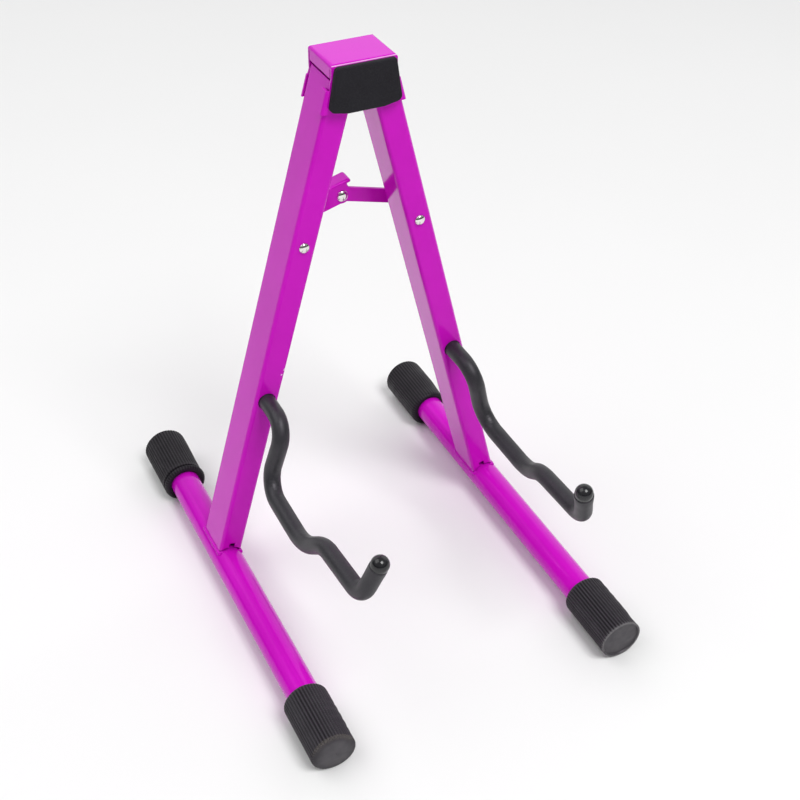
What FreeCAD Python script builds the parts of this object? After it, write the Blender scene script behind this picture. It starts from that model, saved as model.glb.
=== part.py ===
import FreeCAD, Part
import math
import os
import Sketcher

# Folding A-frame guitar stand.
# Frame: +Z up, +Y towards the back, X across; the origin is on the floor
# under the middle of the feet. Millimetres, stand open as in use.

V = FreeCAD.Vector
doc = FreeCAD.newDocument("guitar_stand")

# ----------------------------------------------------------------- sizes
SIZES = [
    # feet
    ("foot_length", 300.0), ("foot_half_gap", 97.6),
    ("foot_tube_dia", 20.0), ("foot_tube_wall", 1.5), ("foot_tube_inset", 4.0),
    ("cap_dia", 29.6), ("cap_length", 46.0), ("cap_round", 2.4),
    ("cap_dish_dia", 21.0), ("cap_dish_depth", 0.9),
    # legs
    ("splay", 15.0), ("leg_width", 15.5), ("leg_depth", 27.2), ("leg_wall", 1.2),
    ("leg_corner", 2.2), ("leg_front", 21.2), ("leg_over", 5.5),
    ("arch_gap", 1.3), ("notch_width", 3.8), ("notch_rise", 3.1),
    # head
    ("head_top", 347.6), ("head_half_width", 19.6), ("head_pivot_height", 330.5),
    ("sheet", 1.3), ("head_gap", 0.2), ("tab_gap", 0.65), ("lip_bottom", 339.8),
    ("tab_top", 333.3), ("tab_bottom", 320.2), ("tab_wrap", 5.0),
    ("ear_top", 331.2), ("ear_bottom", 318.8), ("ear_past", 0.3),
    ("head_edge_round", 2.0), ("head_rivet_dia", 5.0), ("head_rivet_head_dia", 9.0),
    ("head_rivet_head", 1.3),
    ("pad_top", 346.8), ("pad_bottom", 320.0), ("pad_shoulder", 322.2), ("pad_top_half", 17.9),
    ("pad_bottom_half", 21.9), ("pad_bottom_flat", 11.0), ("pad_thickness", 3.6), ("pad_corner", 3.0),
    # spreader
    ("link_pivot_along", 93.4), ("link_mid_height", 250.6), ("link_sheet", 2.0),
    ("washer_thick", 0.8), ("link_gap", 0.3), ("rivet_dia", 4.0), ("rivet_fit", 0.05),
    ("dome_dia", 6.6), ("centre_dome_dia", 7.3), ("dome_height", 2.0), ("tail_dia", 6.4), ("tail_height", 1.5),
    ("strip_width", 9.0), ("plate_above", 8.6), ("plate_below", 4.7),
    ("plate_nose", 5.2), ("plate_past", 5.0), ("flange_depth", 9.7),
    ("flange_past", 8.1), ("flange_back", 18.0), ("plate_end", 5.0),
    # arms: bend table of the rod, from the leg's front face outwards
    ("arm_root", 127.4), ("arm_rod_dia", 6.0), ("arm_sleeve_dia", 10.7),
    ("arm_hole_dia", 11.5),
    ("run_a", 13.5), ("run_b", 14.4), ("run_c", 29.0), ("run_d", 7.5), ("run_e", 31.0),
    ("run_f", 20.0),
    ("bend_a", 13.6), ("bend_b", 15.8), ("bend_c", 29.6), ("bend_d", 23.0), ("bend_e", 12.5),
    ("turn_a", 94.3), ("turn_b", 93.3), ("turn_c", 40.6), ("turn_d", 35.2), ("turn_e", 72.6),
    ("tip_length", 2.0), ("tip_dia", 10.7), ("tip_bore", 3.6), ("rod_past", 1.5), ("rod_back", 4.3),
    ("stud_dia", 5.0), ("collar_dia", 9.6), ("collar_thick", 2.4),
    ("nut_flats", 8.0), ("nut_height", 2.7), ("nut_washer_dia", 9.0), ("nut_washer_thick", 0.8),
]
VALUES = dict(SIZES)
sheet = doc.addObject("Spreadsheet::Sheet", "Sizes")
for row, (alias, number) in enumerate(SIZES, start=1):
    sheet.set("A%d" % row, alias.replace("_", " "))
    sheet.set("B%d" % row, repr(number))
    sheet.setAlias("B%d" % row, alias)
doc.recompute()


class Size:
    """A length or angle that knows its value and its expression."""

    def __init__(self, value, text):
        self.value = float(value)
        self.text = text

    def _join(self, other, sign, value):
        return Size(value, "(%s %s %s)" % (self.text, sign, size(other).text))

    def __add__(self, o):
        return self._join(o, "+", self.value + size(o).value)

    def __sub__(self, o):
        return self._join(o, "-", self.value - size(o).value)

    def __mul__(self, o):
        return self._join(o, "*", self.value * size(o).value)

    def __truediv__(self, o):
        return self._join(o, "/", self.value / size(o).value)

    def __neg__(self):
        return Size(-self.value, "(0 - %s)" % self.text)


def size(x):
    return x if isinstance(x, Size) else Size(x, repr(float(x)))


def cell(alias):
    return Size(VALUES[alias], "Sizes." + alias)


def sine(a):
    return Size(math.sin(math.radians(a.value)), "sin(%s * 1 deg)" % a.text)


def cosine(a):
    return Size(math.cos(math.radians(a.value)), "cos(%s * 1 deg)" % a.text)


def tangent(a):
    return Size(math.tan(math.radians(a.value)), "tan(%s * 1 deg)" % a.text)


# derived sizes
axle = cell("cap_dia") / 2                                   # height of a foot's axis
splay = cell("splay")
leg_length = (cell("head_pivot_height") - axle) / cosine(splay)
pivot_x = cell("foot_half_gap") - (cell("head_pivot_height") - axle) * tangent(splay)
leg_front = cell("leg_front")
leg_back = leg_front + cell("leg_depth")
leg_mid = leg_front + cell("leg_depth") / 2
bracket_front = leg_front - cell("head_gap") - cell("sheet")
bracket_back = leg_back + cell("head_gap") + cell("sheet")
link_pivot_x = pivot_x + cell("link_pivot_along") * sine(splay)
link_pivot_z = cell("head_pivot_height") - cell("link_pivot_along") * cosine(splay)
plate_front = leg_back + cell("washer_thick") + cell("link_gap")
plate_back = plate_front + cell("link_sheet")
strip_front = plate_back + cell("link_gap")
strip_back = strip_front + cell("link_sheet")
rise = cell("link_mid_height").value - link_pivot_z.value
LINK = math.hypot(rise, link_pivot_x.value)
link_text = "sqrt((Sizes.link_mid_height - %s) ^ 2 + %s ^ 2)" % (link_pivot_z.text, link_pivot_x.text)
link_length = Size(LINK, link_text)
link_angle = math.degrees(math.atan2(rise, link_pivot_x.value))


# --------------------------------------------------------------- helpers
def new_body(label):
    body = doc.addObject("PartDesign::Body", label)
    body.Label = label
    return body


def origin_plane(body, role):
    for feature in body.Origin.OriginFeatures:
        if feature.Role == role:
            return feature
    raise RuntimeError(role)


def new_sketch(body, role, name, offset=None):
    """A sketch on one of the body's origin planes, moved along its normal."""
    sk = body.newObject("Sketcher::SketchObject", name)
    sk.AttachmentSupport = (origin_plane(body, role), [""])
    sk.MapMode = "FlatFace"
    if offset is not None:
        sk.AttachmentOffset = FreeCAD.Placement(V(0, 0, offset.value), FreeCAD.Rotation())
        sk.setExpression("AttachmentOffset.Base.z", offset.text)
    return sk


def bind(sk, kind, refs, s, degrees=False):
    value = math.radians(s.value) if degrees else s.value
    index = sk.addConstraint(Sketcher.Constraint(kind, *refs, value))
    sk.setExpression("Constraints[%d]" % index, s.text + (" * 1 deg" if degrees else ""))


def place_point(sk, geo, pos, x, y):
    for kind, s in (("DistanceX", size(x)), ("DistanceY", size(y))):
        if abs(s.value) < 1e-9:
            ref = -2 if kind == "DistanceX" else -1
            sk.addConstraint(Sketcher.Constraint("PointOnObject", geo, pos, ref))
        else:
            bind(sk, kind, (-1, 1, geo, pos), s)


def polygon(sk, points):
    first = sk.GeometryCount
    n = len(points)
    for i in range(n):
        a, b = points[i], points[(i + 1) % n]
        sk.addGeometry(Part.LineSegment(V(size(a[0]).value, size(a[1]).value, 0),
                                        V(size(b[0]).value, size(b[1]).value, 0)), False)
    for i in range(n):
        sk.addConstraint(Sketcher.Constraint("Coincident", first + i, 2, first + (i + 1) % n, 1))
    for i in range(n):
        place_point(sk, first + i, 1, points[i][0], points[i][1])


def circle(sk, x, y, radius):
    g = sk.addGeometry(Part.Circle(V(size(x).value, size(y).value, 0), V(0, 0, 1), radius.value), False)
    place_point(sk, g, 3, x, y)
    bind(sk, "Radius", (g,), radius)
    return g


def pad(body, sk, length, name, middle=False, reverse=False):
    f = body.newObject("PartDesign::Pad", name)
    f.Profile = sk
    f.Length = length.value
    f.setExpression("Length", length.text)
    if middle:
        f.SideType = "Symmetric"
    f.Reversed = reverse
    sk.Visibility = False
    return f


def pocket(body, sk, length, name, middle=False, reverse=False):
    before = body.Tip.Shape.Volume if body.Tip.Shape.Solids else 0.0
    f = body.newObject("PartDesign::Pocket", name)
    f.Profile = sk
    f.Length = length.value
    f.setExpression("Length", length.text)
    if middle:
        f.SideType = "Symmetric"
    f.Reversed = reverse
    doc.recompute()
    if f.Shape.Volume > before - 0.05:
        raise RuntimeError("%s in %s removes nothing" % (name, body.Label))
    return f


def revolve(body, sk, axis, name):
    f = body.newObject("PartDesign::Revolution", name)
    f.Profile = sk
    f.ReferenceAxis = (sk, [axis])
    f.Angle = 360.0
    return f


def edge_names(feature, test):
    return ["Edge%d" % (i + 1) for i, e in enumerate(feature.Shape.Edges) if test(e)]


def fillet(body, feature, test, radius, name):
    doc.recompute()
    names = edge_names(feature, test)
    if not names:
        raise RuntimeError("%s in %s finds no edge" % (name, body.Label))
    f = body.newObject("PartDesign::Fillet", name)
    f.Base = (feature, names)
    f.Radius = radius.value
    f.setExpression("Radius", radius.text)
    return f


def mid(e):
    return e.valueAt((e.FirstParameter + e.LastParameter) / 2)


def straight(e, axis):
    if not isinstance(e.Curve, Part.Line) and e.Curve.TypeId != "Part::GeomLine":
        return False
    d = e.Curve.Direction
    return abs(abs(getattr(d, axis)) - 1) < 1e-6


def put(body, x, y, z, turn_y=0.0, turn_z=0.0, turn_text=None):
    """Place a body; turn_y turns about +Y, turn_z about +Z, in degrees."""
    rot = FreeCAD.Rotation(V(0, 1, 0), turn_y).multiply(FreeCAD.Rotation(V(0, 0, 1), turn_z))
    x, y, z = size(x), size(y), size(z)
    body.Placement = FreeCAD.Placement(V(x.value, y.value, z.value), rot)
    for key, s in (("x", x), ("y", y), ("z", z)):
        body.setExpression("Placement.Base." + key, s.text)


SIDES = (("left", -1), ("right", 1))
NODES = []


def keep(body):
    NODES.append(body)
    return body


# ------------------------------------------------------------------ feet
def foot_tube(side, s):
    body = new_body("%s_foot_tube" % side)
    sk = new_sketch(body, "XZ_Plane", side + "_foot_tube_section")
    circle(sk, 0, 0, cell("foot_tube_dia") / 2)
    circle(sk, 0, 0, cell("foot_tube_dia") / 2 - cell("foot_tube_wall"))
    pad(body, sk, cell("foot_length") - cell("foot_tube_inset") * 2, side + "_foot_tube_run", middle=True)
    put(body, cell("foot_half_gap") * s, 0, axle)
    keep(body)


def foot_cap(side, s, end):
    # closed rubber sleeve, a shallow dish in its end face, rounded shoulders
    name = "%s_%s_foot_cap" % (side, end)
    body = new_body(name)
    sk = new_sketch(body, "YZ_Plane", name + "_profile")
    face = -(cell("foot_length") / 2)
    mouth = face + cell("cap_length")
    bore = cell("foot_tube_dia") / 2 + 0.02
    out = cell("cap_dia") / 2
    polygon(sk, [
        (face + cell("cap_dish_depth"), 0),
        (face + cell("cap_dish_depth"), cell("cap_dish_dia") / 2 - 1.2),
        (face, cell("cap_dish_dia") / 2),
        (face, out),
        (mouth, out),
        (mouth, bore),
        (face + cell("foot_tube_inset"), bore),
        (face + cell("foot_tube_inset"), 0),
    ])
    turned = revolve(body, sk, "H_Axis", name + "_turned")

    def shoulder(e):
        return (e.Curve.TypeId == "Part::GeomCircle"
                and abs(e.Curve.Radius - out.value) < 1e-6)
    f = fillet(body, turned, shoulder, cell("cap_round"), name + "_shoulders")
    body.Tip = f
    put(body, cell("foot_half_gap") * s, 0, axle, turn_z=0.0 if end == "front" else 180.0)
    keep(body)


# ------------------------------------------------------------------ legs
def rounded_box(body, name, role, half_x, half_y, height, radius):
    sk = new_sketch(body, role, name + "_section")
    polygon(sk, [(-half_x, -half_y), (half_x, -half_y), (half_x, half_y), (-half_x, half_y)])
    block = pad(body, sk, height, name + "_block")
    return fillet(body, block, lambda e: straight(e, "z"), radius, name + "_corners")


def leg(side, s):
    # rectangular tube, square to the splay, saddled onto the foot's tube
    name = side + "_leg"
    body = new_body(name)
    total = leg_length + cell("leg_over")
    hx, hy = cell("leg_width") / 2, cell("leg_depth") / 2
    rounded_box(body, name, "XY_Plane", hx, hy, total, cell("leg_corner"))
    doc.recompute()
    # the hollow, with its own rounded corners
    w = cell("leg_wall")
    core = new_sketch(body, "XY_Plane", name + "_hollow_section")
    ix, iy, r = hx - w, hy - w, cell("leg_corner") - w
    rounded_rectangle(core, ix, iy, r)
    pocket(body, core, total + 1, name + "_hollow", reverse=True)
    # saddle over the foot's tube
    sk = new_sketch(body, "XZ_Plane", name + "_saddle_section")
    circle(sk, 0, 0, cell("foot_tube_dia") / 2 + 0.02)
    pocket(body, sk, cell("leg_depth") + 4, name + "_saddle", middle=True)
    # the front web is arched clear of the tube, with a small notch at its crown
    sk = new_sketch(body, "XZ_Plane", name + "_arch_section", hy + 0.5)
    circle(sk, 0, 0, cell("foot_tube_dia") / 2 + cell("arch_gap"))
    pocket(body, sk, w + 0.8, name + "_arch")
    sk = new_sketch(body, "XZ_Plane", name + "_notch_section", hy + 0.5)
    base = cell("foot_tube_dia") / 2
    nw = cell("notch_width") / 2
    polygon(sk, [(-nw, base), (nw, base),
                 (nw, base + cell("arch_gap") + cell("notch_rise")),
                 (-nw, base + cell("arch_gap") + cell("notch_rise"))])
    pocket(body, sk, w + 0.8, name + "_notch")
    # pivot holes right through both webs
    sk = new_sketch(body, "XZ_Plane", name + "_pivot_holes")
    circle(sk, 0, leg_length, cell("head_rivet_dia") / 2 + cell("rivet_fit"))
    circle(sk, 0, leg_length - cell("link_pivot_along"), cell("rivet_dia") / 2 + cell("rivet_fit"))
    pocket(body, sk, cell("leg_depth") + 4, name + "_pivots", middle=True)
    # the arm's clearance hole in front, its bolt hole behind
    sk = new_sketch(body, "XZ_Plane", name + "_arm_hole_section", hy + 0.5)
    circle(sk, 0, cell("arm_root"), cell("arm_hole_dia") / 2)
    pocket(body, sk, w + 0.8, name + "_arm_hole")
    sk = new_sketch(body, "XZ_Plane", name + "_arm_bolt_section", -(hy + 0.5))
    circle(sk, 0, cell("arm_root"), cell("stud_dia") / 2 + cell("rivet_fit"))
    pocket(body, sk, w + 0.8, name + "_arm_bolt", reverse=True)
    place_on_leg(body, s)
    keep(body)


def rounded_rectangle(sk, hx, hy, r):
    """Rectangle about the origin with rounded corners, tangent arcs."""
    x, y, q = hx.value, hy.value, r.value
    g = sk.GeometryCount
    pts = [(-x + q, -y, x - q, -y), (x, -y + q, x, y - q), (x - q, y, -x + q, y), (-x, y - q, -x, -y + q)]
    for a in pts:
        sk.addGeometry(Part.LineSegment(V(a[0], a[1], 0), V(a[2], a[3], 0)), False)
    corners = [(x - q, -y + q, -90), (x - q, y - q, 0), (-x + q, y - q, 90), (-x + q, -y + q, 180)]
    for cx, cy, a0 in corners:
        c = Part.Circle(V(cx, cy, 0), V(0, 0, 1), q)
        sk.addGeometry(Part.ArcOfCircle(c, math.radians(a0), math.radians(a0 + 90)), False)
    for i in range(4):
        sk.addConstraint(Sketcher.Constraint("Tangent", g + i, 2, g + 4 + i, 1))
        sk.addConstraint(Sketcher.Constraint("Tangent", g + 4 + i, 2, g + (i + 1) % 4, 1))
    for i in (1, 2, 3):
        sk.addConstraint(Sketcher.Constraint("Equal", g + 4, g + 4 + i))
    bind(sk, "Radius", (g + 4,), r)
    sk.addConstraint(Sketcher.Constraint("Horizontal", g))
    sk.addConstraint(Sketcher.Constraint("Vertical", g + 1))
    sk.addConstraint(Sketcher.Constraint("Horizontal", g + 2))
    sk.addConstraint(Sketcher.Constraint("Vertical", g + 3))
    bind(sk, "DistanceX", (-1, 1, g + 1, 1), hx)
    bind(sk, "DistanceY", (-1, 1, g + 2, 1), hy)
    bind(sk, "DistanceX", (-1, 1, g + 3, 1), -hx)
    bind(sk, "DistanceY", (-1, 1, g, 1), -hy)


def place_on_leg(body, s):
    """Bodies drawn in the leg's own frame: local Z runs up the leg."""
    put(body, cell("foot_half_gap") * s, leg_mid, axle)
    body.Placement = FreeCAD.Placement(body.Placement.Base, FreeCAD.Rotation(V(0, -s, 0), VALUES["splay"]))
    body.setExpression("Placement.Rotation.Angle", "Sizes.splay")


# ------------------------------------------------------------------ arms
def bend_path(sk, start_y, first_extra, last_run):
    """Straight runs joined by tangent arcs, from the bend table.

    The sketch's x is the leg's Y, so the rod leaves towards -x."""
    runs = [cell("run_a") + first_extra, cell("run_b"), cell("run_c"), cell("run_d"), cell("run_e"), last_run]
    bends = [cell("bend_" + k) for k in "abcde"]
    turns = [cell("turn_" + k) for k in "abcde"]
    signs = (1, -1, -1, 1, -1)          # turning left or right along the way
    px, py, a = start_y.value, VALUES["arm_root"], math.pi
    lines, arcs = [], []
    for i in range(6):
        dx, dy = math.cos(a), math.sin(a)
        qx, qy = px + dx * runs[i].value, py + dy * runs[i].value
        lines.append(sk.addGeometry(Part.LineSegment(V(px, py, 0), V(qx, qy, 0)), False))
        px, py = qx, qy
        if i < 5:
            t, r, sg = math.radians(turns[i].value), bends[i].value, signs[i]
            cx, cy = px - sg * r * math.sin(a), py + sg * r * math.cos(a)
            b = a + sg * t
            qx, qy = cx + sg * r * math.sin(b), cy - sg * r * math.cos(b)
            a0, a1 = math.atan2(py - cy, px - cx), math.atan2(qy - cy, qx - cx)
            lo, hi = (a0, a1) if sg > 0 else (a1, a0)
            if hi < lo:
                hi += 2 * math.pi
            arcs.append(sk.addGeometry(Part.ArcOfCircle(Part.Circle(V(cx, cy, 0), V(0, 0, 1), r), lo, hi), False))
            px, py, a = qx, qy, b
    sk.addConstraint(Sketcher.Constraint("Horizontal", lines[0]))
    place_point(sk, lines[0], 1, start_y, cell("arm_root"))
    for i in range(5):
        enter, leave = (1, 2) if signs[i] > 0 else (2, 1)
        sk.addConstraint(Sketcher.Constraint("Tangent", lines[i], 2, arcs[i], enter))
        sk.addConstraint(Sketcher.Constraint("Tangent", arcs[i], leave, lines[i + 1], 1))
        bind(sk, "Radius", (arcs[i],), bends[i])
    for i in range(6):
        bind(sk, "Distance", (lines[i],), runs[i])
    for i in range(5):
        turned = turns[i] if signs[i] > 0 else -turns[i]
        bind(sk, "Angle", (lines[i], 2, lines[i + 1], 1), (size(180.0) + turned), degrees=True)
    return (px, py, a)


def sweep(body, name, start_y, first_extra, last_run, radii):
    path = new_sketch(body, "YZ_Plane", name + "_path")
    end = bend_path(path, start_y, first_extra, last_run)
    ring = new_sketch(body, "XZ_Plane", name + "_ring", -start_y)
    for r in radii:
        circle(ring, 0, cell("arm_root"), r)
    pipe = body.newObject("PartDesign::AdditivePipe", name + "_bent")
    pipe.Profile = ring
    pipe.Spine = path
    doc.recompute()
    return pipe, end


def arm(side, s):
    hy = cell("leg_depth") / 2
    rod_r = cell("arm_rod_dia") / 2
    sleeve_r = cell("arm_sleeve_dia") / 2
    tip_r = cell("tip_dia") / 2
    # bent steel rod: a collar bears on the inside of the leg's back web and a
    # thinner threaded stud goes through it
    body = new_body(side + "_arm_rod")
    root = cell("arm_root")
    inner = hy - cell("leg_wall")
    sweep(body, side + "_arm_rod", inner, cell("leg_depth") - cell("leg_wall"), cell("run_f") + cell("rod_past"), [rod_r])
    sk = new_sketch(body, "XZ_Plane", side + "_arm_collar_section", -(inner - cell("collar_thick")))
    circle(sk, 0, root, cell("collar_dia") / 2)
    pad(body, sk, cell("collar_thick"), side + "_arm_collar", reverse=True)
    doc.recompute()
    sk = new_sketch(body, "XZ_Plane", side + "_arm_stud_section", -inner)
    circle(sk, 0, root, cell("stud_dia") / 2)
    body.Tip = pad(body, sk, cell("leg_wall") + cell("rod_back"), side + "_arm_stud", reverse=True)
    place_on_leg(body, s)
    keep(body)
    # foam sleeve over the rod, from inside the leg's hole to the tip cap
    body = new_body(side + "_arm_sleeve")
    inside = cell("leg_wall") + 1.4
    _, end = sweep(body, side + "_arm_sleeve", -(hy - inside), inside, cell("run_f") - cell("tip_length"),
                   [sleeve_r, rod_r + 0.05])
    place_on_leg(body, s)
    keep(body)
    # moulded tip: a short skirt and a ball end on the rod, in line with the last run
    body = new_body(side + "_arm_tip")
    sk = new_sketch(body, "XZ_Plane", side + "_arm_tip_profile")
    ln = cell("tip_length")
    top = cell("tip_bore")
    sk.addGeometry(Part.LineSegment(V(rod_r.value + 0.05, 0, 0), V(tip_r.value, 0, 0)), False)
    sk.addGeometry(Part.LineSegment(V(tip_r.value, 0, 0), V(tip_r.value, ln.value, 0)), False)
    sk.addGeometry(Part.ArcOfCircle(Part.Circle(V(0, ln.value, 0), V(0, 0, 1), tip_r.value), 0, math.pi / 2), False)
    sk.addGeometry(Part.LineSegment(V(0, ln.value + tip_r.value, 0), V(0, top.value, 0)), False)
    sk.addGeometry(Part.LineSegment(V(0, top.value, 0), V(rod_r.value + 0.05, top.value, 0)), False)
    sk.addGeometry(Part.LineSegment(V(rod_r.value + 0.05, top.value, 0), V(rod_r.value + 0.05, 0, 0)), False)
    for i in range(6):
        sk.addConstraint(Sketcher.Constraint("Coincident", i, 2, (i + 1) % 6, 1))
    place_point(sk, 0, 1, rod_r + 0.05, 0)
    place_point(sk, 0, 2, tip_r, 0)
    place_point(sk, 1, 2, tip_r, ln)
    place_point(sk, 2, 3, 0, ln)
    sk.addConstraint(Sketcher.Constraint("PointOnObject", 3, 1, -2))
    place_point(sk, 4, 1, 0, top)
    place_point(sk, 5, 1, rod_r + 0.05, top)
    revolve(body, sk, "V_Axis", side + "_arm_tip_turned")
    # stand the tip on the sleeve's end: its local Z along the last run
    y_end, z_end, a = end
    foot = FreeCAD.Placement(V(VALUES["foot_half_gap"] * s, leg_mid.value, axle.value),
                             FreeCAD.Rotation(V(0, 1, 0), -s * VALUES["splay"]))
    tilt = FreeCAD.Rotation(V(0, 0, 1), V(0, math.cos(a), math.sin(a)))
    body.Placement = foot.multiply(FreeCAD.Placement(V(0, y_end, z_end), tilt))
    keep(body)
    # thin nut behind the back web, and a washer under it
    name = side + "_arm_nut"
    body = new_body(name)
    sk = new_sketch(body, "XZ_Plane", name + "_section", -(hy + cell("nut_washer_thick")))
    flat = cell("nut_flats") / 2
    corner = flat / cosine(size(30.0))
    polygon(sk, [(flat, root - corner / 2), (flat, root + corner / 2), (0, root + corner),
                 (-flat, root + corner / 2), (-flat, root - corner / 2), (0, root - corner)])
    circle(sk, 0, root, cell("stud_dia") / 2 + cell("rivet_fit"))
    pad(body, sk, cell("nut_height"), name + "_hex", reverse=True)
    place_on_leg(body, s)
    keep(body)
    name = side + "_arm_washer"
    body = new_body(name)
    sk = new_sketch(body, "XZ_Plane", name + "_section", -hy)
    circle(sk, 0, root, cell("nut_washer_dia") / 2)
    circle(sk, 0, root, cell("stud_dia") / 2 + cell("rivet_fit"))
    pad(body, sk, cell("nut_washer_thick"), name + "_ring", reverse=True)
    place_on_leg(body, s)
    keep(body)


# ---------------------------------------------------------------- rivets
def rivet(name, steps, x, z, dome=None, tail=None):
    """Turned rivet along Y. steps are (y, radius) pairs of its outline; a dome
    ends it in front and a flatter one behind, both drawn as short cones."""
    body = new_body(name)
    sk = new_sketch(body, "YZ_Plane", name + "_profile")
    polygon(sk, steps)
    f = revolve(body, sk, "H_Axis", name + "_turned")
    doc.recompute()
    put(body, x, 0, z)
    keep(body)
    return body


def dome_points(y0, direction, radius, height, count=5):
    """Outline of a low dome from its rim at y0 to its crown."""
    pts = []
    for i in range(count + 1):
        a = math.radians(90.0 * i / count)
        pts.append((y0 + height * direction * math.sin(a), radius * math.cos(a)))
    return pts


def leg_rivets():
    r = cell("rivet_dia") / 2
    for side, s in SIDES:
        front = dome_points(leg_front, -1, cell("dome_dia") / 2, cell("dome_height"))
        front = front[:-1] + [(leg_front - cell("dome_height"), 0)]
        if side == "left":
            # peened behind the gusset link
            rim = plate_back + 0.1
            back = dome_points(rim, 1, cell("tail_dia") / 2, cell("tail_height"))
            back = back[:-1] + [(rim + cell("tail_height"), 0)]
            steps = front[::-1] + [(leg_front, r), (rim, r)] + back
        else:
            # the right rivet ends at its spacer; the part behind is the link's
            end = leg_back + cell("washer_thick") + cell("link_gap") + cell("link_sheet")
            steps = front[::-1] + [(leg_front, r), (end, r), (end, 0)]
        rivet(side + "_leg_rivet", steps, link_pivot_x * s, link_pivot_z)
    back = dome_points(strip_back, 1, cell("tail_dia") / 2, cell("tail_height"))
    back = back[:-1] + [(strip_back + cell("tail_height"), 0)]
    rivet("right_leg_rivet_tail", [(strip_front, 0), (strip_front, r), (strip_back, r)] + back,
          link_pivot_x, link_pivot_z)


def centre_rivet():
    r = cell("rivet_dia") / 2
    front = dome_points(plate_front, -1, cell("centre_dome_dia") / 2, cell("dome_height"))
    front = front[:-1] + [(plate_front - cell("dome_height"), 0)]
    rim = strip_back + 0.1
    back = dome_points(rim, 1, cell("tail_dia") / 2, cell("tail_height"))
    back = back[:-1] + [(rim + cell("tail_height"), 0)]
    rivet("centre_rivet", front[::-1] + [(plate_front, r), (rim, r)] + back, size(0.0), cell("link_mid_height"))


def head_rivets():
    r = cell("head_rivet_dia") / 2
    big = cell("head_rivet_head_dia") / 2
    for side, s in SIDES:
        face = bracket_front - cell("head_rivet_head")
        back = dome_points(bracket_back, 1, big - 0.3, cell("tail_height") + 0.3)
        back = back[:-1] + [(bracket_back + cell("tail_height") + 0.3, 0)]
        steps = [(face, 0), (face, big - 0.6), (face + 0.6, big), (bracket_front, big), (bracket_front, r),
                 (bracket_back, r)] + back
        rivet(side + "_head_rivet", steps, pivot_x * s, cell("head_pivot_height"))


def ring(name, x, z, y, thick, outer, inner):
    body = new_body(name)
    sk = new_sketch(body, "XZ_Plane", name + "_section", -y)
    circle(sk, 0, 0, outer)
    circle(sk, 0, 0, inner)
    pad(body, sk, thick, name + "_ring", reverse=True)
    put(body, x, 0, z)
    keep(body)


# -------------------------------------------------------------- spreader
def left_link():
    # gusset plate with a thumb flange turned back along its top edge;
    # local X runs from the leg's pivot to the middle rivet
    body = new_body("left_link")
    L = link_length
    r = cell("rivet_dia") / 2 + cell("rivet_fit")
    above, below = cell("plate_above"), cell("plate_below")
    sk = new_sketch(body, "XZ_Plane", "left_link_outline", -plate_front)
    past = cell("plate_past")
    polygon(sk, [(0, -below), (L + 3.6, -below), (L + 5.9, -2.4), (L + 5.9, 3.2), (L + past, 4.6),
                 (L + past, above), (L - 20, above), (0, cell("plate_end"))])
    plate = pad(body, sk, cell("link_sheet"), "left_link_plate", reverse=True)
    doc.recompute()
    sk = new_sketch(body, "XZ_Plane", "left_link_ends", -plate_front)
    circle(sk, 0, 0, cell("plate_end"))
    pad(body, sk, cell("link_sheet"), "left_link_eye", reverse=True)
    doc.recompute()
    sk = new_sketch(body, "XZ_Plane", "left_link_nose_section", -plate_front)
    circle(sk, L, 0, cell("plate_nose"))
    pad(body, sk, cell("link_sheet"), "left_link_nose", reverse=True)
    doc.recompute()
    sk = new_sketch(body, "XZ_Plane", "left_link_flange_section", -plate_front)
    t = cell("link_sheet")
    polygon(sk, [(L - cell("flange_back"), above - t), (L + cell("flange_past"), above - t),
                 (L + cell("flange_past"), above), (L - cell("flange_back"), above)])
    flange = pad(body, sk, cell("flange_depth"), "left_link_flange", reverse=True)
    doc.recompute()

    def bend(e):
        m = mid(e)
        return (straight(e, "x") and abs(m.y - plate_front.value) < 0.01 and abs(m.z - above.value) < 0.01)
    f = fillet(body, flange, bend, size(1.6), "left_link_bend")
    doc.recompute()

    def corner(e):
        m = mid(e)
        return straight(e, "z") and abs(m.x - (L.value + VALUES["flange_past"])) < 0.01
    f = fillet(body, f, corner, size(1.8), "left_link_thumb_corners")
    doc.recompute()
    sk = new_sketch(body, "XZ_Plane", "left_link_holes", -(plate_front - 1))
    circle(sk, 0, 0, r)
    circle(sk, L, 0, r)
    f = pocket(body, sk, cell("link_sheet") + 2, "left_link_eyes")
    body.Tip = f
    put(body, -link_pivot_x, 0, link_pivot_z, turn_y=-link_angle)
    keep(body)


def right_link():
    # plain strip; local X runs from the middle rivet to the right leg's pivot
    body = new_body("right_link")
    L = link_length
    r = cell("rivet_dia") / 2 + cell("rivet_fit")
    h = cell("strip_width") / 2
    sk = new_sketch(body, "XZ_Plane", "right_link_outline", -strip_front)
    polygon(sk, [(0, -h), (L, -h), (L, h), (0, h)])
    pad(body, sk, cell("link_sheet"), "right_link_strip", reverse=True)
    doc.recompute()
    for name, x in (("inner", size(0.0)), ("outer", L)):
        sk = new_sketch(body, "XZ_Plane", "right_link_%s_end" % name, -strip_front)
        circle(sk, x, 0, h)
        pad(body, sk, cell("link_sheet"), "right_link_%s_eye" % name, reverse=True)
        doc.recompute()
    sk = new_sketch(body, "XZ_Plane", "right_link_holes", -(strip_front - 1))
    circle(sk, 0, 0, r)
    circle(sk, L, 0, cell("rivet_dia") / 2 + 0.01)
    f = pocket(body, sk, cell("link_sheet") + 2, "right_link_eyes")
    body.Tip = f
    put(body, 0, 0, cell("link_mid_height"), turn_y=link_angle)
    keep(body)


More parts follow.
